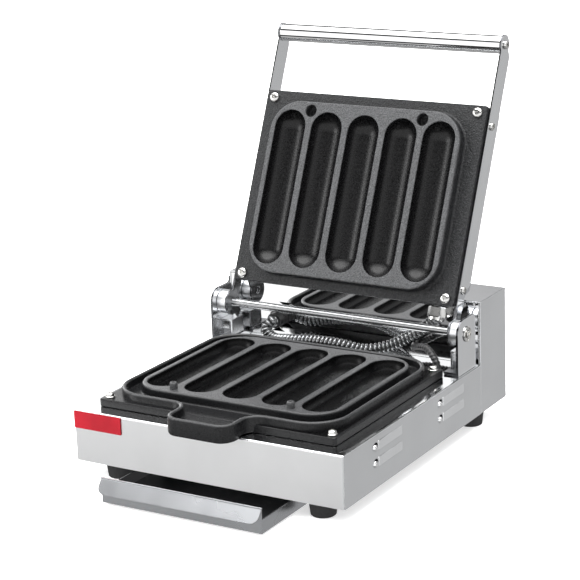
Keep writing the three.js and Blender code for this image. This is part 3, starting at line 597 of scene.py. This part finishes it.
def lower_plate():
    near, far = HINGE_Y - ISLAND_FAR, HINGE_Y - ISLAND_NEAR
    bm = bmesh.new()
    inner, foot, round_top = -WALL_THICK, 1.6, WALL_THICK / 2
    wall = []
    for k in range(4):
        a = math.pi / 2 * k / 3
        outline = spill_outline(inner - foot * (1 - math.sin(a)))
        wall.append(level(outline, lambda x, y, a=a: channel_floor(x, y) + foot * (1 - math.cos(a))))
    for k in range(9):
        a = math.pi * k / 8
        wall.append(level(spill_outline(-round_top - round_top * math.cos(a)),
                          WALL_TOP - round_top * (1 - math.sin(a)) * 0.8))
    for margin, rise in ((0.0, 2.2), (-0.6, 0.7), (-2.2, 0.0)):
        wall.append(level(spill_outline(margin), lambda x, y, rise=rise: wall_base(x, y) + rise))
    rings = loft(bm, wall)
    fill(bm, rings[-1])
    island = loft(bm, island_loops(near, far, FLANGE_TOP, LOWER_TOP))
    fill(bm, rings[0], island[0])
    slot_near, slot_far = HINGE_Y - SLOT_FAR, HINGE_Y - SLOT_NEAR
    slots = slot_rings(bm, slot_near + SLOT_RADIUS, slot_far - SLOT_RADIUS, LOWER_TOP)
    fill(bm, island[-1], *slots)
    casting = new_object("lower_plate_casting", bm)
    flange = bmesh.new()
    loops = []
    for margin, z in ((-0.5, 0.0), (0, 0.6), (0, 6.0), (-0.3, 6.7), (-1.0, 7.0)):
        half = LOWER_HALF + margin
        outline = rounded_box(-half, half, LOWER_FRONT - margin, LOWER_REAR + margin, 3 + margin, 5)
        loops.append(level(outline, LOWER_BOTTOM + z))
    rings = loft(flange, loops)
    fill(flange, rings[0])
    fill(flange, rings[-1])
    flange = new_object("flange", flange)
    under = bmesh.new()
    inset = UNDERSIDE_INSET
    outline = rounded_box(-UNDERSIDE_HALF, UNDERSIDE_HALF, near + inset, far - inset, UNDERSIDE_CORNER)
    prism(under, outline, LOWER_BASE, LOWER_BOTTOM + 1)
    under = new_object("underside", under)
    boolean(casting, [flange, under], "UNION")
    casting.data.transform(TO_ROW)
    finish(casting, LOWER_CAST, "base", ("lower_plate",), angle=38)
    shade_cavities(casting, LOWER_CAVITY_SHADE, TO_ROW, slot_near, slot_far, LOWER_TOP)


def upper_plate():
    bm = bmesh.new()
    loops = []
    for margin, z in ((-0.8, 0.0), (0.0, 0.7), (0.0, UPPER_SLAB - 0.9),
                      (-0.3, UPPER_SLAB - 0.25), (-1.0, UPPER_SLAB)):
        half = UPPER_HALF + margin
        outline = rounded_box(-half, half, UPPER_NEAR - margin, UPPER_FAR + margin, 3 + margin, 5)
        loops.append(level(outline, z))
    rings = loft(bm, loops)
    fill(bm, rings[0])
    island = loft(bm, island_loops(ISLAND_NEAR, ISLAND_FAR, UPPER_SLAB, UPPER_FACE, 1.2, 2.2))
    fill(bm, rings[-1], island[0])
    rims = slot_rings(bm, SLOT_NEAR + SLOT_RADIUS, SLOT_FAR - SLOT_RADIUS, UPPER_FACE)
    for side in (-1, 1):
        steps = ((PIN_HOLE + 0.5, 0), (PIN_HOLE + 0.15, 0.15), (PIN_HOLE, 0.5),
                 (PIN_HOLE, 9), (PIN_HOLE - 0.8, 9.3))
        hole = loft(bm, [level(circle(side * PIN_X, PIN_REACH, radius, 28), UPPER_FACE - depth)
                         for radius, depth in steps])
        fill(bm, hole[-1])
        rims.append(hole[0])
    fill(bm, island[-1], *rims)
    casting = new_object("upper_plate_casting", bm, FACE)
    finish(casting, UPPER_CAST, "lid", ("upper_plate",), angle=38)
    shade_cavities(casting, UPPER_CAVITY_SHADE, FACE, SLOT_NEAR, SLOT_FAR, UPPER_FACE)


def locating_pins():
    """Black hollow spigots that centre the closed plates."""
    shoulder = 3.4
    profile = [(0, -0.2), (PIN_RADIUS, -0.2), (PIN_RADIUS, shoulder)]
    for a in (0.4, 0.8, 1.2, 1.57):
        profile.append((PIN_RADIUS - 1.5 * (1 - math.cos(a)), shoulder + 2.4 * math.sin(a)))
    profile += [(1.7, PIN_HEIGHT - 0.3), (1.4, PIN_HEIGHT - 0.7), (1.4, 2.6), (0, 2.2)]
    for name, side in (("left", -1), ("right", 1)):
        bm = bmesh.new()
        lathe(bm, profile, 28)
        place = TO_ROW @ Matrix.Translation((side * PIN_X, HINGE_Y - PIN_REACH, LOWER_TOP + GAP))
        key = f"locating_pin_{name}"
        finish(new_object(key + "_turned", bm, place), LOWER_CAST, "base", (key,))


# ------------------------------------------------------------------ screws
def cross_outline(reach, width):
    """A plus-shaped recess outline with 12 corners."""
    r, w = reach, width
    return [(r, -w), (r, w), (w, w), (w, r), (-w, r), (-w, w),
            (-r, w), (-r, -w), (-w, -w), (-w, -r), (w, -r), (w, -w)]


def screw_head(bm, radius, height, recess, shank, washer=0.0):
    """A domed head standing on z = 0 with a recess of the given outline, on a plain shank."""
    base = washer and 0.9
    profile = [(0, -shank), (2.3, -shank), (2.3, -0.05)]
    if washer:
        profile += [(washer, -0.05), (washer, base * 0.75), (washer - 0.25, base)]
    profile += [(radius, base), (radius, base + height * 0.35)]
    for k in range(1, 6):
        a = math.pi / 2 * k / 6
        profile.append((radius * (0.42 + 0.58 * math.cos(a)), base + height * (0.35 + 0.65 * math.sin(a))))
    rings = lathe(bm, profile, 32)
    top = base + height
    narrowed = [(x * 0.86, y * 0.86) for x, y in recess]
    pocket = loft(bm, [level(recess, top), level(narrowed, top - height * 0.62)])
    fill(bm, pocket[-1])
    for vertex in rings[-1]:
        vertex.co.z = top
    fill(bm, rings[-1], pocket[0])


def screws():
    cross = cross_outline(2.0, 0.62)
    hexagon = circle(0, 0, 1.9, 6)
    aside = Matrix.Rotation(math.pi / 2, 4, "Y")
    for name, side in (("left", -1), ("right", 1)):
        for end, reach in UPPER_SCREW_REACHES:
            bm = bmesh.new()
            screw_head(bm, radius=4.8, height=2.7, recess=cross, shank=7)
            turn = Matrix.Rotation(0.5 + side * 0.3 + reach * 0.01, 4, "Z")
            place = FACE @ Matrix.Translation((side * UPPER_SCREW_X, reach, UPPER_SLAB + GAP)) @ turn
            key = f"upper_plate_screw_{end}_{name}"
            finish(new_object(key + "_head", bm, place), NICKEL, "lid", (key,))
        for end, y in LOWER_SCREW_PLACES:
            bm = bmesh.new()
            screw_head(bm, radius=3.7, height=3.0, recess=hexagon, shank=6.5, washer=4.4)
            turn = Matrix.Rotation(y * 0.1, 4, "Z")
            place = TO_ROW @ Matrix.Translation((side * LOWER_SCREW_X, y, FLANGE_TOP + GAP)) @ turn
            key = f"lower_plate_screw_{end}_{name}"
            finish(new_object(key + "_head", bm, place), NICKEL, "base", (key,))
        turn = Matrix.Diagonal((side, 1, 1, 1)) @ Matrix.Translation((ARM_OUTER + GAP, 0, 0)) @ aside
        for key, reach, depth, radius, height, shank in (
                ("handle_screw", HANDLE_REACH, HANDLE_DEPTH, 4.0, 2.5, 14),
                ("arm_screw_top", ARM_SCREW_TOP, ARM_SCREW_DEPTH, 3.8, 2.1, 8),
                ("arm_screw_bottom", ARM_SCREW_BOTTOM, ARM_SCREW_DEPTH, 3.8, 2.1, 8)):
            bm = bmesh.new()
            screw_head(bm, radius, height, cross, shank)
            bm.transform(Matrix.Translation((0, depth, reach)) @ turn)
            key = f"{key}_{name}"
            finish(new_object(key + "_head", bm, LID), NICKEL, "lid", (key,))


# ------------------------------------------------------------------ lid bars and hinge
def bars():
    """The chrome handle tube and hinge rod, turned about X."""
    along = Matrix.Rotation(math.pi / 2, 4, "Y")
    end = ARM_INNER - GAP
    for key, radius, reach, depth, material in (
            ("lid_handle", HANDLE_RADIUS, HANDLE_REACH, HANDLE_DEPTH, CHROME),
            ("hinge_rod", ROD_RADIUS, 0, 0, ROD_CHROME_SHADE)):
        bm = bmesh.new()
        profile = [(0, -end), (radius - 0.5, -end), (radius - 0.12, -end + 0.15), (radius, -end + 0.6)]
        profile += [(r, -z) for r, z in reversed(profile)]
        lathe(bm, profile, 96)
        turned = new_object(key + "_turned", bm, LID @ Matrix.Translation((0, depth, reach)) @ along)
        finish(turned, material, "lid", (key,))
        # The rod is left out of reflections, where its image would hide that of the lower plate.
        turned.visible_glossy = key == "lid_handle"


def hinge_bolts():
    """Socket-head bolts with a washer on each bracket's outer face."""
    shank = [(0, -12), (3, -12), (3, 0)]
    washer = [(7.2, 0), (7.2, 0.7), (6.9, 1.0), (5.9, 1.0), (5.7, 0.2), (3.9, 0.2)]
    head = [(3.9, 0.2), (3.9, 2.1), (3.6, 2.45), (3.2, 2.5)]
    hexagon = circle(0, 0, 2.2, 6)
    for name, side in (("left", -1), ("right", 1)):
        bm = bmesh.new()
        lathe(bm, shank + washer, 40)
        rings = lathe(bm, head, 40)
        pocket = loft(bm, [level(hexagon, 2.5), level(hexagon, 0.5)])
        fill(bm, pocket[-1])
        fill(bm, rings[-1], pocket[0])
        bmesh.ops.remove_doubles(bm, verts=bm.verts[:], dist=0.001)
        aside = Matrix.Rotation(math.pi / 2, 4, "Y")
        place = Matrix.Translation((BRACKET_OUTER + GAP, HINGE_Y, HINGE_Z)) @ aside
        bm.transform(Matrix.Diagonal((side, 1, 1, 1)) @ place)
        key = f"hinge_bolt_{name}"
        finish(new_object(key + "_head", bm, TO_ROW), NICKEL, "base", (key,))


# ------------------------------------------------------------------ housing
def housing():
    """Front, sides and deck in one bent sheet, open below and behind, with pressed louvres in the sides."""
    bm = bmesh.new()
    bend = 1.6
    outline = rounded([(-HALF, 0, bend), (HALF, 0, bend), (HALF, DEPTH, 0), (-HALF, DEPTH, 0)], 5)
    top = rounded([(-HALF + bend, bend, 0.01), (HALF - bend, bend, 0.01), (HALF - bend, DEPTH, 0),
                   (-HALF + bend, DEPTH, 0)], 5)
    loops = [level(outline, 0), level(outline, DECK - bend)]
    for k in range(1, 6):
        a = math.pi / 2 * k / 5
        share = 1 - math.cos(a)
        ring = [(x + (tx - x) * share, y + (ty - y) * share) for (x, y), (tx, ty) in zip(outline, top)]
        loops.append(level(ring, DECK - bend * (1 - math.sin(a))))
    rings = loft(bm, loops)
    fill(bm, rings[-1])
    fill(bm, rings[0])
    shell = new_object("base_housing_sheet", bm)
    inside = bmesh.new()
    inner, past = HALF - SHEET, DEPTH + 5
    prism(inside, [(-inner, SHEET), (inner, SHEET), (inner, past), (-inner, past)], -5, DECK - SHEET)
    opening = bmesh.new()
    hole = rounded_box(-OPENING_HALF, OPENING_HALF, OPENING_FRONT, OPENING_REAR, OPENING_CORNER)
    prism(opening, hole, DECK - 5, DECK + 5)
    lead_hole = bmesh.new()
    prism(lead_hole, circle(LEAD_X, LEAD_Y, LEAD_HOLE, 32), DECK - 5, DECK + 5)
    mouths = bmesh.new()
    for side in (-1, 1):
        for y in LOUVRE_MOUTHS:
            for z in LOUVRE_HEIGHTS:
                scoop = [(side * (HALF + 2), py, pz) for py, pz in circle(y, z, MOUTH_RADIUS)]
                far = [(side * (HALF - 6), py, pz) for _, py, pz in scoop]
                rings = loft(mouths, [scoop, far])
                fill(mouths, rings[0])
                fill(mouths, rings[1])
    cuts = (("inside", inside), ("opening", opening), ("lead", lead_hole), ("mouths", mouths))
    boolean(shell, [new_object(name, cut) for name, cut in cuts], "DIFFERENCE")
    shell.data.transform(TO_ROW)
    finish(shell, STEEL, "base", ("base_housing",), angle=30)
    # Upward faces get the lighter deck copy and the front face the lighter front copy of the steel: painted
    # light by the way the faces look.
    shell.data.materials.append(DECK_STEEL_LIGHT)
    shell.data.materials.append(FRONT_STEEL_LIGHT)
    for face in shell.data.polygons:
        face.material_index = 1 if face.normal.z > 0.95 else 2 if face.normal.y < -0.95 else 0
    louvres()


def louvres():
    """Pressed louvres: a low flat hood behind a round mouth, and a bright pressed dome in the mouth."""
    # Along the hood, and how much of its bulge it has there; then across it, and the share of that height.
    fall = ((0.0, 0.0), (0.02, 1.0), (0.3, 0.85), (0.7, 0.6), (0.97, 0.45), (1.0, 0.0))
    section = ((1.0, 0.0), (0.9, 0.75), (0.72, 1.0), (-0.72, 1.0), (-0.9, 0.75), (-1.0, 0.0))
    profile = [(0, -2.5), (DOME_RADIUS, -2.5), (DOME_RADIUS, 0)]
    for a in (0.3, 0.6, 0.9, 1.2, 1.4):
        profile.append((DOME_RADIUS * math.cos(a), DOME_HEIGHT * math.sin(a)))
    profile.append((0, DOME_HEIGHT))
    for name, side in (("left", -1), ("right", 1)):
        hoods, domes = bmesh.new(), bmesh.new()
        turned = Matrix.Diagonal((side, 1, 1, 1)) @ Matrix.Rotation(math.pi / 2, 4, "Y")
        for y in LOUVRE_MOUTHS:
            for z in LOUVRE_HEIGHTS:
                loops = []
                for along, share in fall:
                    bulge, back = LOUVRE_BULGE * share, y + MOUTH_RADIUS + 0.6 + along * LOUVRE_LENGTH
                    loops.append([(side * (HALF + bulge * rise + 0.02), back, z + LOUVRE_HALF * across)
                                  for across, rise in section])
                loft(hoods, loops, closed=False)
                dome = bmesh.new()
                lathe(dome, profile, 24)
                dome.transform(Matrix.Translation((side * (HALF - 0.4), y - 0.9, z - 0.7)) @ turned)
                pressed = bpy.data.meshes.new("dome")
                dome.to_mesh(pressed)
                dome.free()
                domes.from_mesh(pressed)
                bpy.data.meshes.remove(pressed)
        hood = new_object(f"louvre_hoods_{name}", hoods, TO_ROW)
        thick = hood.modifiers.new("sheet", "SOLIDIFY")
        thick.thickness = 0.3 * MM
        thick.offset = -1
        # The hoods get a lighter copy of the steel: painted light.
        finish(hood, LOUVRE_STEEL_LIGHT, "base", (), angle=20)
        dome = new_object(f"louvre_domes_{name}", domes, TO_ROW)
        finish(dome, CHROME, "base", (), angle=50)


def feet():
    """Rubber feet with a screw recess below and a soft lower edge."""
    profile = [(0, FOOT_RECESS), (4.9, FOOT_RECESS), (5.0, -15.8), (5.3, FOOT_BOTTOM), (10.2, FOOT_BOTTOM)]
    profile += [(11.0, -15.2), (12.3, -4.2), (FOOT_TOP_RADIUS, -3.2), (FOOT_TOP_RADIUS, -0.5)]
    profile += [(12.2, -0.05), (0, -0.05)]
    for end, x, y in (("front", FRONT_FOOT_X, FRONT_FOOT_Y), ("rear", REAR_FOOT_X, REAR_FOOT_Y)):
        for name, side in (("left", -1), ("right", 1)):
            bm = bmesh.new()
            lathe(bm, profile, 48)
            key = f"foot_{end}_{name}"
            place = TO_ROW @ Matrix.Translation((side * x, y, 0))
            finish(new_object(key + "_moulded", bm, place), RUBBER, "base", (key,))


# ------------------------------------------------------------------ conduit and lead
def smooth_route(points, spacing):
    """Points every spacing millimetres along a centripetal Catmull-Rom curve through the given points."""
    controls = [Vector(p) for p in points]
    controls = [controls[0] * 2 - controls[1], *controls, controls[-1] * 2 - controls[-2]]
    dense = []
    for p0, p1, p2, p3 in zip(controls, controls[1:], controls[2:], controls[3:]):
        t1 = (p1 - p0).length ** 0.5
        t2 = t1 + (p2 - p1).length ** 0.5
        t3 = t2 + (p3 - p2).length ** 0.5
        for k in range(40):
            t = t1 + (t2 - t1) * k / 40
            a1 = p0 * ((t1 - t) / t1) + p1 * (t / t1)
            a2 = p1 * ((t2 - t) / (t2 - t1)) + p2 * ((t - t1) / (t2 - t1))
            a3 = p2 * ((t3 - t) / (t3 - t2)) + p3 * ((t - t2) / (t3 - t2))
            b1 = a1 * ((t2 - t) / t2) + a2 * (t / t2)
            b2 = a2 * ((t3 - t) / (t3 - t1)) + a3 * ((t - t1) / (t3 - t1))
            dense.append(b1 * ((t2 - t) / (t2 - t1)) + b2 * ((t - t1) / (t2 - t1)))
    dense.append(controls[-2])
    lengths = [0.0]
    for a, b in zip(dense, dense[1:]):
        lengths.append(lengths[-1] + (b - a).length)
    count = max(2, round(lengths[-1] / spacing))
    route, i = [], 0
    for k in range(count + 1):
        target = lengths[-1] * k / count
        while i < len(lengths) - 2 and lengths[i + 1] < target:
            i += 1
        span = lengths[i + 1] - lengths[i]
        route.append(dense[i].lerp(dense[i + 1], (target - lengths[i]) / span if span else 0.0))
    return route


def swept(bm, route, sides, radius_at):
    """A tube along the route whose radius is radius_at(distance, turn), capped at both ends."""
    tangent = (route[1] - route[0]).normalized()
    normal = tangent.orthogonal().normalized()
    loops, distance = [], 0.0
    for i, point in enumerate(route):
        ahead = (route[min(i + 1, len(route) - 1)] - route[max(i - 1, 0)]).normalized()
        normal = (tangent.rotation_difference(ahead) @ normal).normalized()
        tangent = ahead
        across = tangent.cross(normal)
        loop = []
        for k in range(sides):
            turn = k / sides
            angle = 2 * math.pi * turn
            outwards = normal * math.cos(angle) + across * math.sin(angle)
            loop.append(point + outwards * radius_at(distance, turn))
        loops.append(loop)
        if i + 1 < len(route):
            distance += (route[i + 1] - point).length
    rings = loft(bm, loops)
    fill(bm, rings[0])
    fill(bm, rings[-1])


def lid_point(x, depth, reach):
    """A point of the lid in the machine: side to side, behind the plate's back, up the arms."""
    return (x, HINGE_Y + reach * math.sin(LEAN) + depth * math.cos(LEAN),
            HINGE_Z + reach * math.cos(LEAN) - depth * math.sin(LEAN))


def conduit():
    """Spiral-wound steel conduit from the gland to the lid cover, drawn in one fixed shape."""
    start = BOX_FRONT - 15.6
    route = smooth_route([
        (GLAND_X, start, GLAND_Z), (GLAND_X, start - 4, GLAND_Z), (GLAND_X - 2, start - 11, GLAND_Z - 5),
        (-68, 225, 56), (-48, 220, 58), (-20, 219, 61), (8, 219.5, 61), (30, 226, 57), BEND_START,
        (64, 243, 67), (79, 246, 77), (90, 249, 86),
        lid_point(CONDUIT_X, CONDUIT_DEPTH, COVER_NEAR - 7),
        lid_point(CONDUIT_X, CONDUIT_DEPTH, COVER_NEAR - GAP),
    ], 0.4)
    rib_pitch, rib_share, groove_radius, rib_height, sides = 4.2, 0.68, 4.1, 1.5, 22

    def phase(distance, turn):
        return (distance / rib_pitch + turn) % 1.0

    def radius(distance, turn):
        share = min(1.0, phase(distance, turn) / rib_share)
        return groove_radius + rib_height * math.sin(math.pi * share) ** 0.5

    bm = bmesh.new()
    swept(bm, route, sides, radius)
    made = new_object("power_conduit_spiral", bm, TO_ROW)
    made.data.materials.append(CONDUIT_STEEL)
    # Faces in the grooves between the ribs get the near-black groove material: painted shade.
    made.data.materials.append(GROOVE_SHADE)
    step = (Vector(route[1]) - Vector(route[0])).length
    for i, face in enumerate(made.data.polygons):
        face.use_smooth = True
        if i < (len(route) - 1) * sides:
            ring, lane = divmod(i, sides)
            face.material_index = int(phase((ring + 0.5) * step, (lane + 0.5) / sides) > rib_share)
    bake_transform(made)
    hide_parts("power_conduit")


def ferrule():
    """The hexagonal nut and collar that hold the conduit under the lid cover."""
    bm = bmesh.new()
    nut, collar, low, middle, high = 8.6, 7.0, 8.6, 11.5, 21.2
    rings = loft(bm, [level(circle(0, 0, radius, 6), z) for radius, z in (
        (nut - 0.8, middle), (nut, middle + 0.7), (nut, high - 0.7), (nut - 0.8, high))])
    fill(bm, rings[0])
    fill(bm, rings[-1])
    seat = middle - 0.05
    lathe(bm, [(0, low), (collar - 0.5, low), (collar, low + 0.5), (collar, seat), (0, seat)], 36)
    place = LID @ Matrix.Translation((CONDUIT_X, CONDUIT_DEPTH - 0.6, 0)) @ Matrix.Rotation(0.2, 4, "Z")
    finish(new_object("conduit_ferrule", bm, place), NICKEL, "lid", ())


def lead():
    """Braided sensor lead from the deck into the rear box."""
    core, strand, braid_pitch = 2.75, 0.65, 3.4
    route = smooth_route([
        (LEAD_X, LEAD_Y, 48), (LEAD_X, LEAD_Y, 55), (104, 221, 62), (95, 226, 67), (84, 233, 65),
        (74, 243, 60), (68, 254, 58),
    ], 0.5)

    def radius(distance, turn):
        return core + strand * abs(math.sin(math.pi * (distance / braid_pitch + turn)))

    bm = bmesh.new()
    swept(bm, route, 64, radius)
    made = new_object("sensor_lead_braided", bm, TO_ROW)
    finish(made, BRAID, "base", ("sensor_lead",), angle=80)


# ------------------------------------------------------------------ the pieces that keep their CAD shape
def refine_cad():
    for key in ("tray_runner_left", "tray_runner_right", "bottom_cover", "lower_heating_element",
                "lower_heater_clamp", "upper_heating_element", "upper_heater_clamp", "thermostat_body"):
        refined(key, DARK_STEEL, 0.2)
    tray = refined("crumb_tray", TRAY_STEEL, 0.25)
    tray.visible_glossy = False  # its reflection would put a dark patch on the front panel
    # The faces inside the tray get a near-black copy of the steel: painted shade.
    tray.data.materials.append(TRAY_INSIDE_SHADE)
    to_machine = TO_ROW.inverted()
    for face in tray.data.polygons:
        x, y, z = to_machine @ face.center
        across = abs(x - TRAY_X) < TRAY_HALF - 0.5
        if across and y > TRAY_FRONT + 1.0 and TRAY_BOTTOM + 0.5 < z < 0:
            face.material_index = 1
    # The two covers keep their triangles: joined into larger faces, their area came out too large.
    for key, bevel, merged in (
            ("rear_box_shell", 0.5, True), ("rear_box_back_cover", 0, False), ("lid_cover", 0.5, False)):
        made = refined(key, STEEL, bevel, merged=merged)
        made.data.materials.append(TOP_STEEL_SHADE)
        # Upward faces get a darker copy of the steel: painted shade.
        for face in made.data.polygons:
            face.material_index = int(face.normal.z > 0.95)
    refined("rear_box_front_wall", POLISHED, 0.3)
    for side in ("left", "right"):
        refined(f"lid_arm_{side}", ARM_STEEL, 0.35)
        refined(f"hinge_bracket_{side}", ARM_STEEL, 0.35)
        refined(f"lid_stop_{side}", STEEL, 0.3)
        refined(f"hinge_bush_{side}", BUSH_STEEL, 0.6, 3)
    for key in ("timer_body", "thermostat_knob", "timer_knob",
                "power_inlet", "switch_frame", "conduit_gland"):
        refined(key, PLASTIC, 0.3)
    refined("badge_plate", RED_PLATE, 0.2)
    refined("power_lamp", GREEN_LENS, 0.4)
    refined("heating_lamp", AMBER_LENS, 0.4)
    refined("power_rocker", RED_ROCKER, 0.3)


# ------------------------------------------------------------------ camera, light and floor
def camera():
    a, e, r = (math.radians(VIEW[key]) for key in ("azimuth", "elevation", "roll"))
    back = Vector((math.sin(a) * math.cos(e), -math.cos(a) * math.cos(e), math.sin(e)))
    right = Vector((math.cos(a), math.sin(a), 0))
    up = back.cross(right)
    x_axis = right * math.cos(r) + up * math.sin(r)
    y_axis = up * math.cos(r) - right * math.sin(r)
    place = VIEW_TARGET + x_axis * VIEW["aside"] + y_axis * VIEW["above"] + back * VIEW["distance"]
    data = bpy.data.cameras.new("camera")
    data.sensor_width, data.lens = SENSOR, LENS
    data.shift_x, data.shift_y = SHIFT_X, SHIFT_Y
    made = bpy.data.objects.new("camera", data)
    turned = Matrix((x_axis, y_axis, back)).transposed().to_4x4()
    made.matrix_world = Matrix.Translation(TO_ROW @ place) @ turned
    scene.collection.objects.link(made)
    scene.camera = made


def softbox(name, place, target, size, power):
    """A soft panel that lights the scene but isn't seen in its reflections; the room's own panels are."""
    data = bpy.data.lights.new(name, "AREA")
    data.energy, data.size = power, size
    made = bpy.data.objects.new(name, data)
    made.location = place
    made.rotation_euler = (Vector(target) - Vector(place)).to_track_quat("-Z", "Y").to_euler()
    made.visible_glossy = False
    scene.collection.objects.link(made)


def grey_ramp(tree, factor, stops):
    ramp = node(tree, "ShaderNodeValToRGB")
    elements = ramp.color_ramp.elements
    while len(elements) < len(stops):
        elements.new(0.5)
    for element, (position, value) in zip(elements, stops):
        element.position = position
        element.color = (value, value, value, 1)
    tree.links.new(factor, ramp.inputs["Fac"])
    return ramp.outputs["Color"]


def studio():
    """The light: two soft lamps, and a room that the camera sees as white.

    Reflections see bright panels in front and overhead with dark gaps between them, and a dimmer back. The
    left is brighter above the horizon and dimmer below it.
    """
    world = bpy.data.worlds.new("studio")
    scene.world = world
    world.use_nodes = True
    tree = world.node_tree
    background = tree.nodes["Background"]
    place = node(tree, "ShaderNodeTexCoord")
    axes = node(tree, "ShaderNodeSeparateXYZ")
    tree.links.new(place.outputs["Generated"], axes.inputs["Vector"])
    height = ranged_value(tree, axes.outputs["Z"], -1, 1)
    # Each stop is a share of the height from the floor's pole to the ceiling's, and a brightness.
    front = grey_ramp(tree, height, (
        (0.0, 0.22), (0.12, 0.42), (0.19, 0.62), (0.20, 0.64), (0.21, 0.02), (0.308, 0.02), (0.318, 1.3),
        (0.44, 1.3), (0.52, 1.25), (0.73, 1.3), (0.74, 0.02), (0.838, 0.02), (0.848, 1.8), (0.91, 2.4),
        (0.925, 6.0), (1.0, 6.0)))
    back = grey_ramp(tree, height, (
        (0.0, 0.3), (0.3, 0.56), (0.4, 0.56), (0.46, 0.5), (0.47, 0.07), (0.54, 0.07), (0.56, 1.15),
        (0.68, 1.15), (0.70, 0.1), (0.86, 0.05), (0.87, 1.6), (0.915, 2.4), (0.925, 6.0), (1.0, 6.0)))
    depth = ranged_value(tree, axes.outputs["Y"], -0.25, 0.15)
    room = blended(tree, depth, front, back)
    # These two multiply that, by the share of the way from left to right, above the horizon and below it.
    across = ranged_value(tree, axes.outputs["X"], -1, 1)
    high_side = grey_ramp(tree, across, (
        (0.0, 1.5), (0.06, 1.5), (0.08, 5.0), (0.18, 5.0), (0.215, 1.0), (1.0, 1.0)))
    low_side = grey_ramp(tree, across, ((0.0, 0.7), (0.15, 0.7), (0.2, 1.0), (1.0, 1.0)))
    side = blended(tree, ranged_value(tree, axes.outputs["Z"], 0.05, 0.2), low_side, high_side)
    lit = node(tree, "ShaderNodeMix", data_type="RGBA", blend_type="MULTIPLY")
    lit.inputs["Factor"].default_value = 1.0
    tree.links.new(room, lit.inputs["A"])
    tree.links.new(side, lit.inputs["B"])
    seen = node(tree, "ShaderNodeLightPath")
    colour = blended(tree, seen.outputs["Is Camera Ray"], lit.outputs["Result"], (1.0, 1.0, 1.0))
    tree.links.new(colour, background.inputs["Color"])
    background.inputs["Strength"].default_value = 1.0
    softbox("key_light", (-1.1, -1.5, 1.5), (0, 0, 0.12), 0.9, 20)
    softbox("fill_light", (1.4, -0.9, 0.9), (0, 0, 0.12), 1.2, 6)


def floor():
    bm = bmesh.new()
    bmesh.ops.create_grid(bm, x_segments=1, y_segments=1, size=8)
    made = new_object("floor", bm)
    glow = {"Emission_Color": (1, 1, 1, 1), "Emission_Strength": 0.55}
    material, _, _ = shader("pale_floor", (0.93, 0.93, 0.93), 0.9, **glow)
    made.data.materials.append(material)
    made.visible_glossy = False


camera()
studio()
floor()
lower_plate()
upper_plate()
locating_pins()
screws()
bars()
hinge_bolts()
housing()
feet()
conduit()
ferrule()
lead()
refine_cad()
scene.view_settings.view_transform = "Standard"
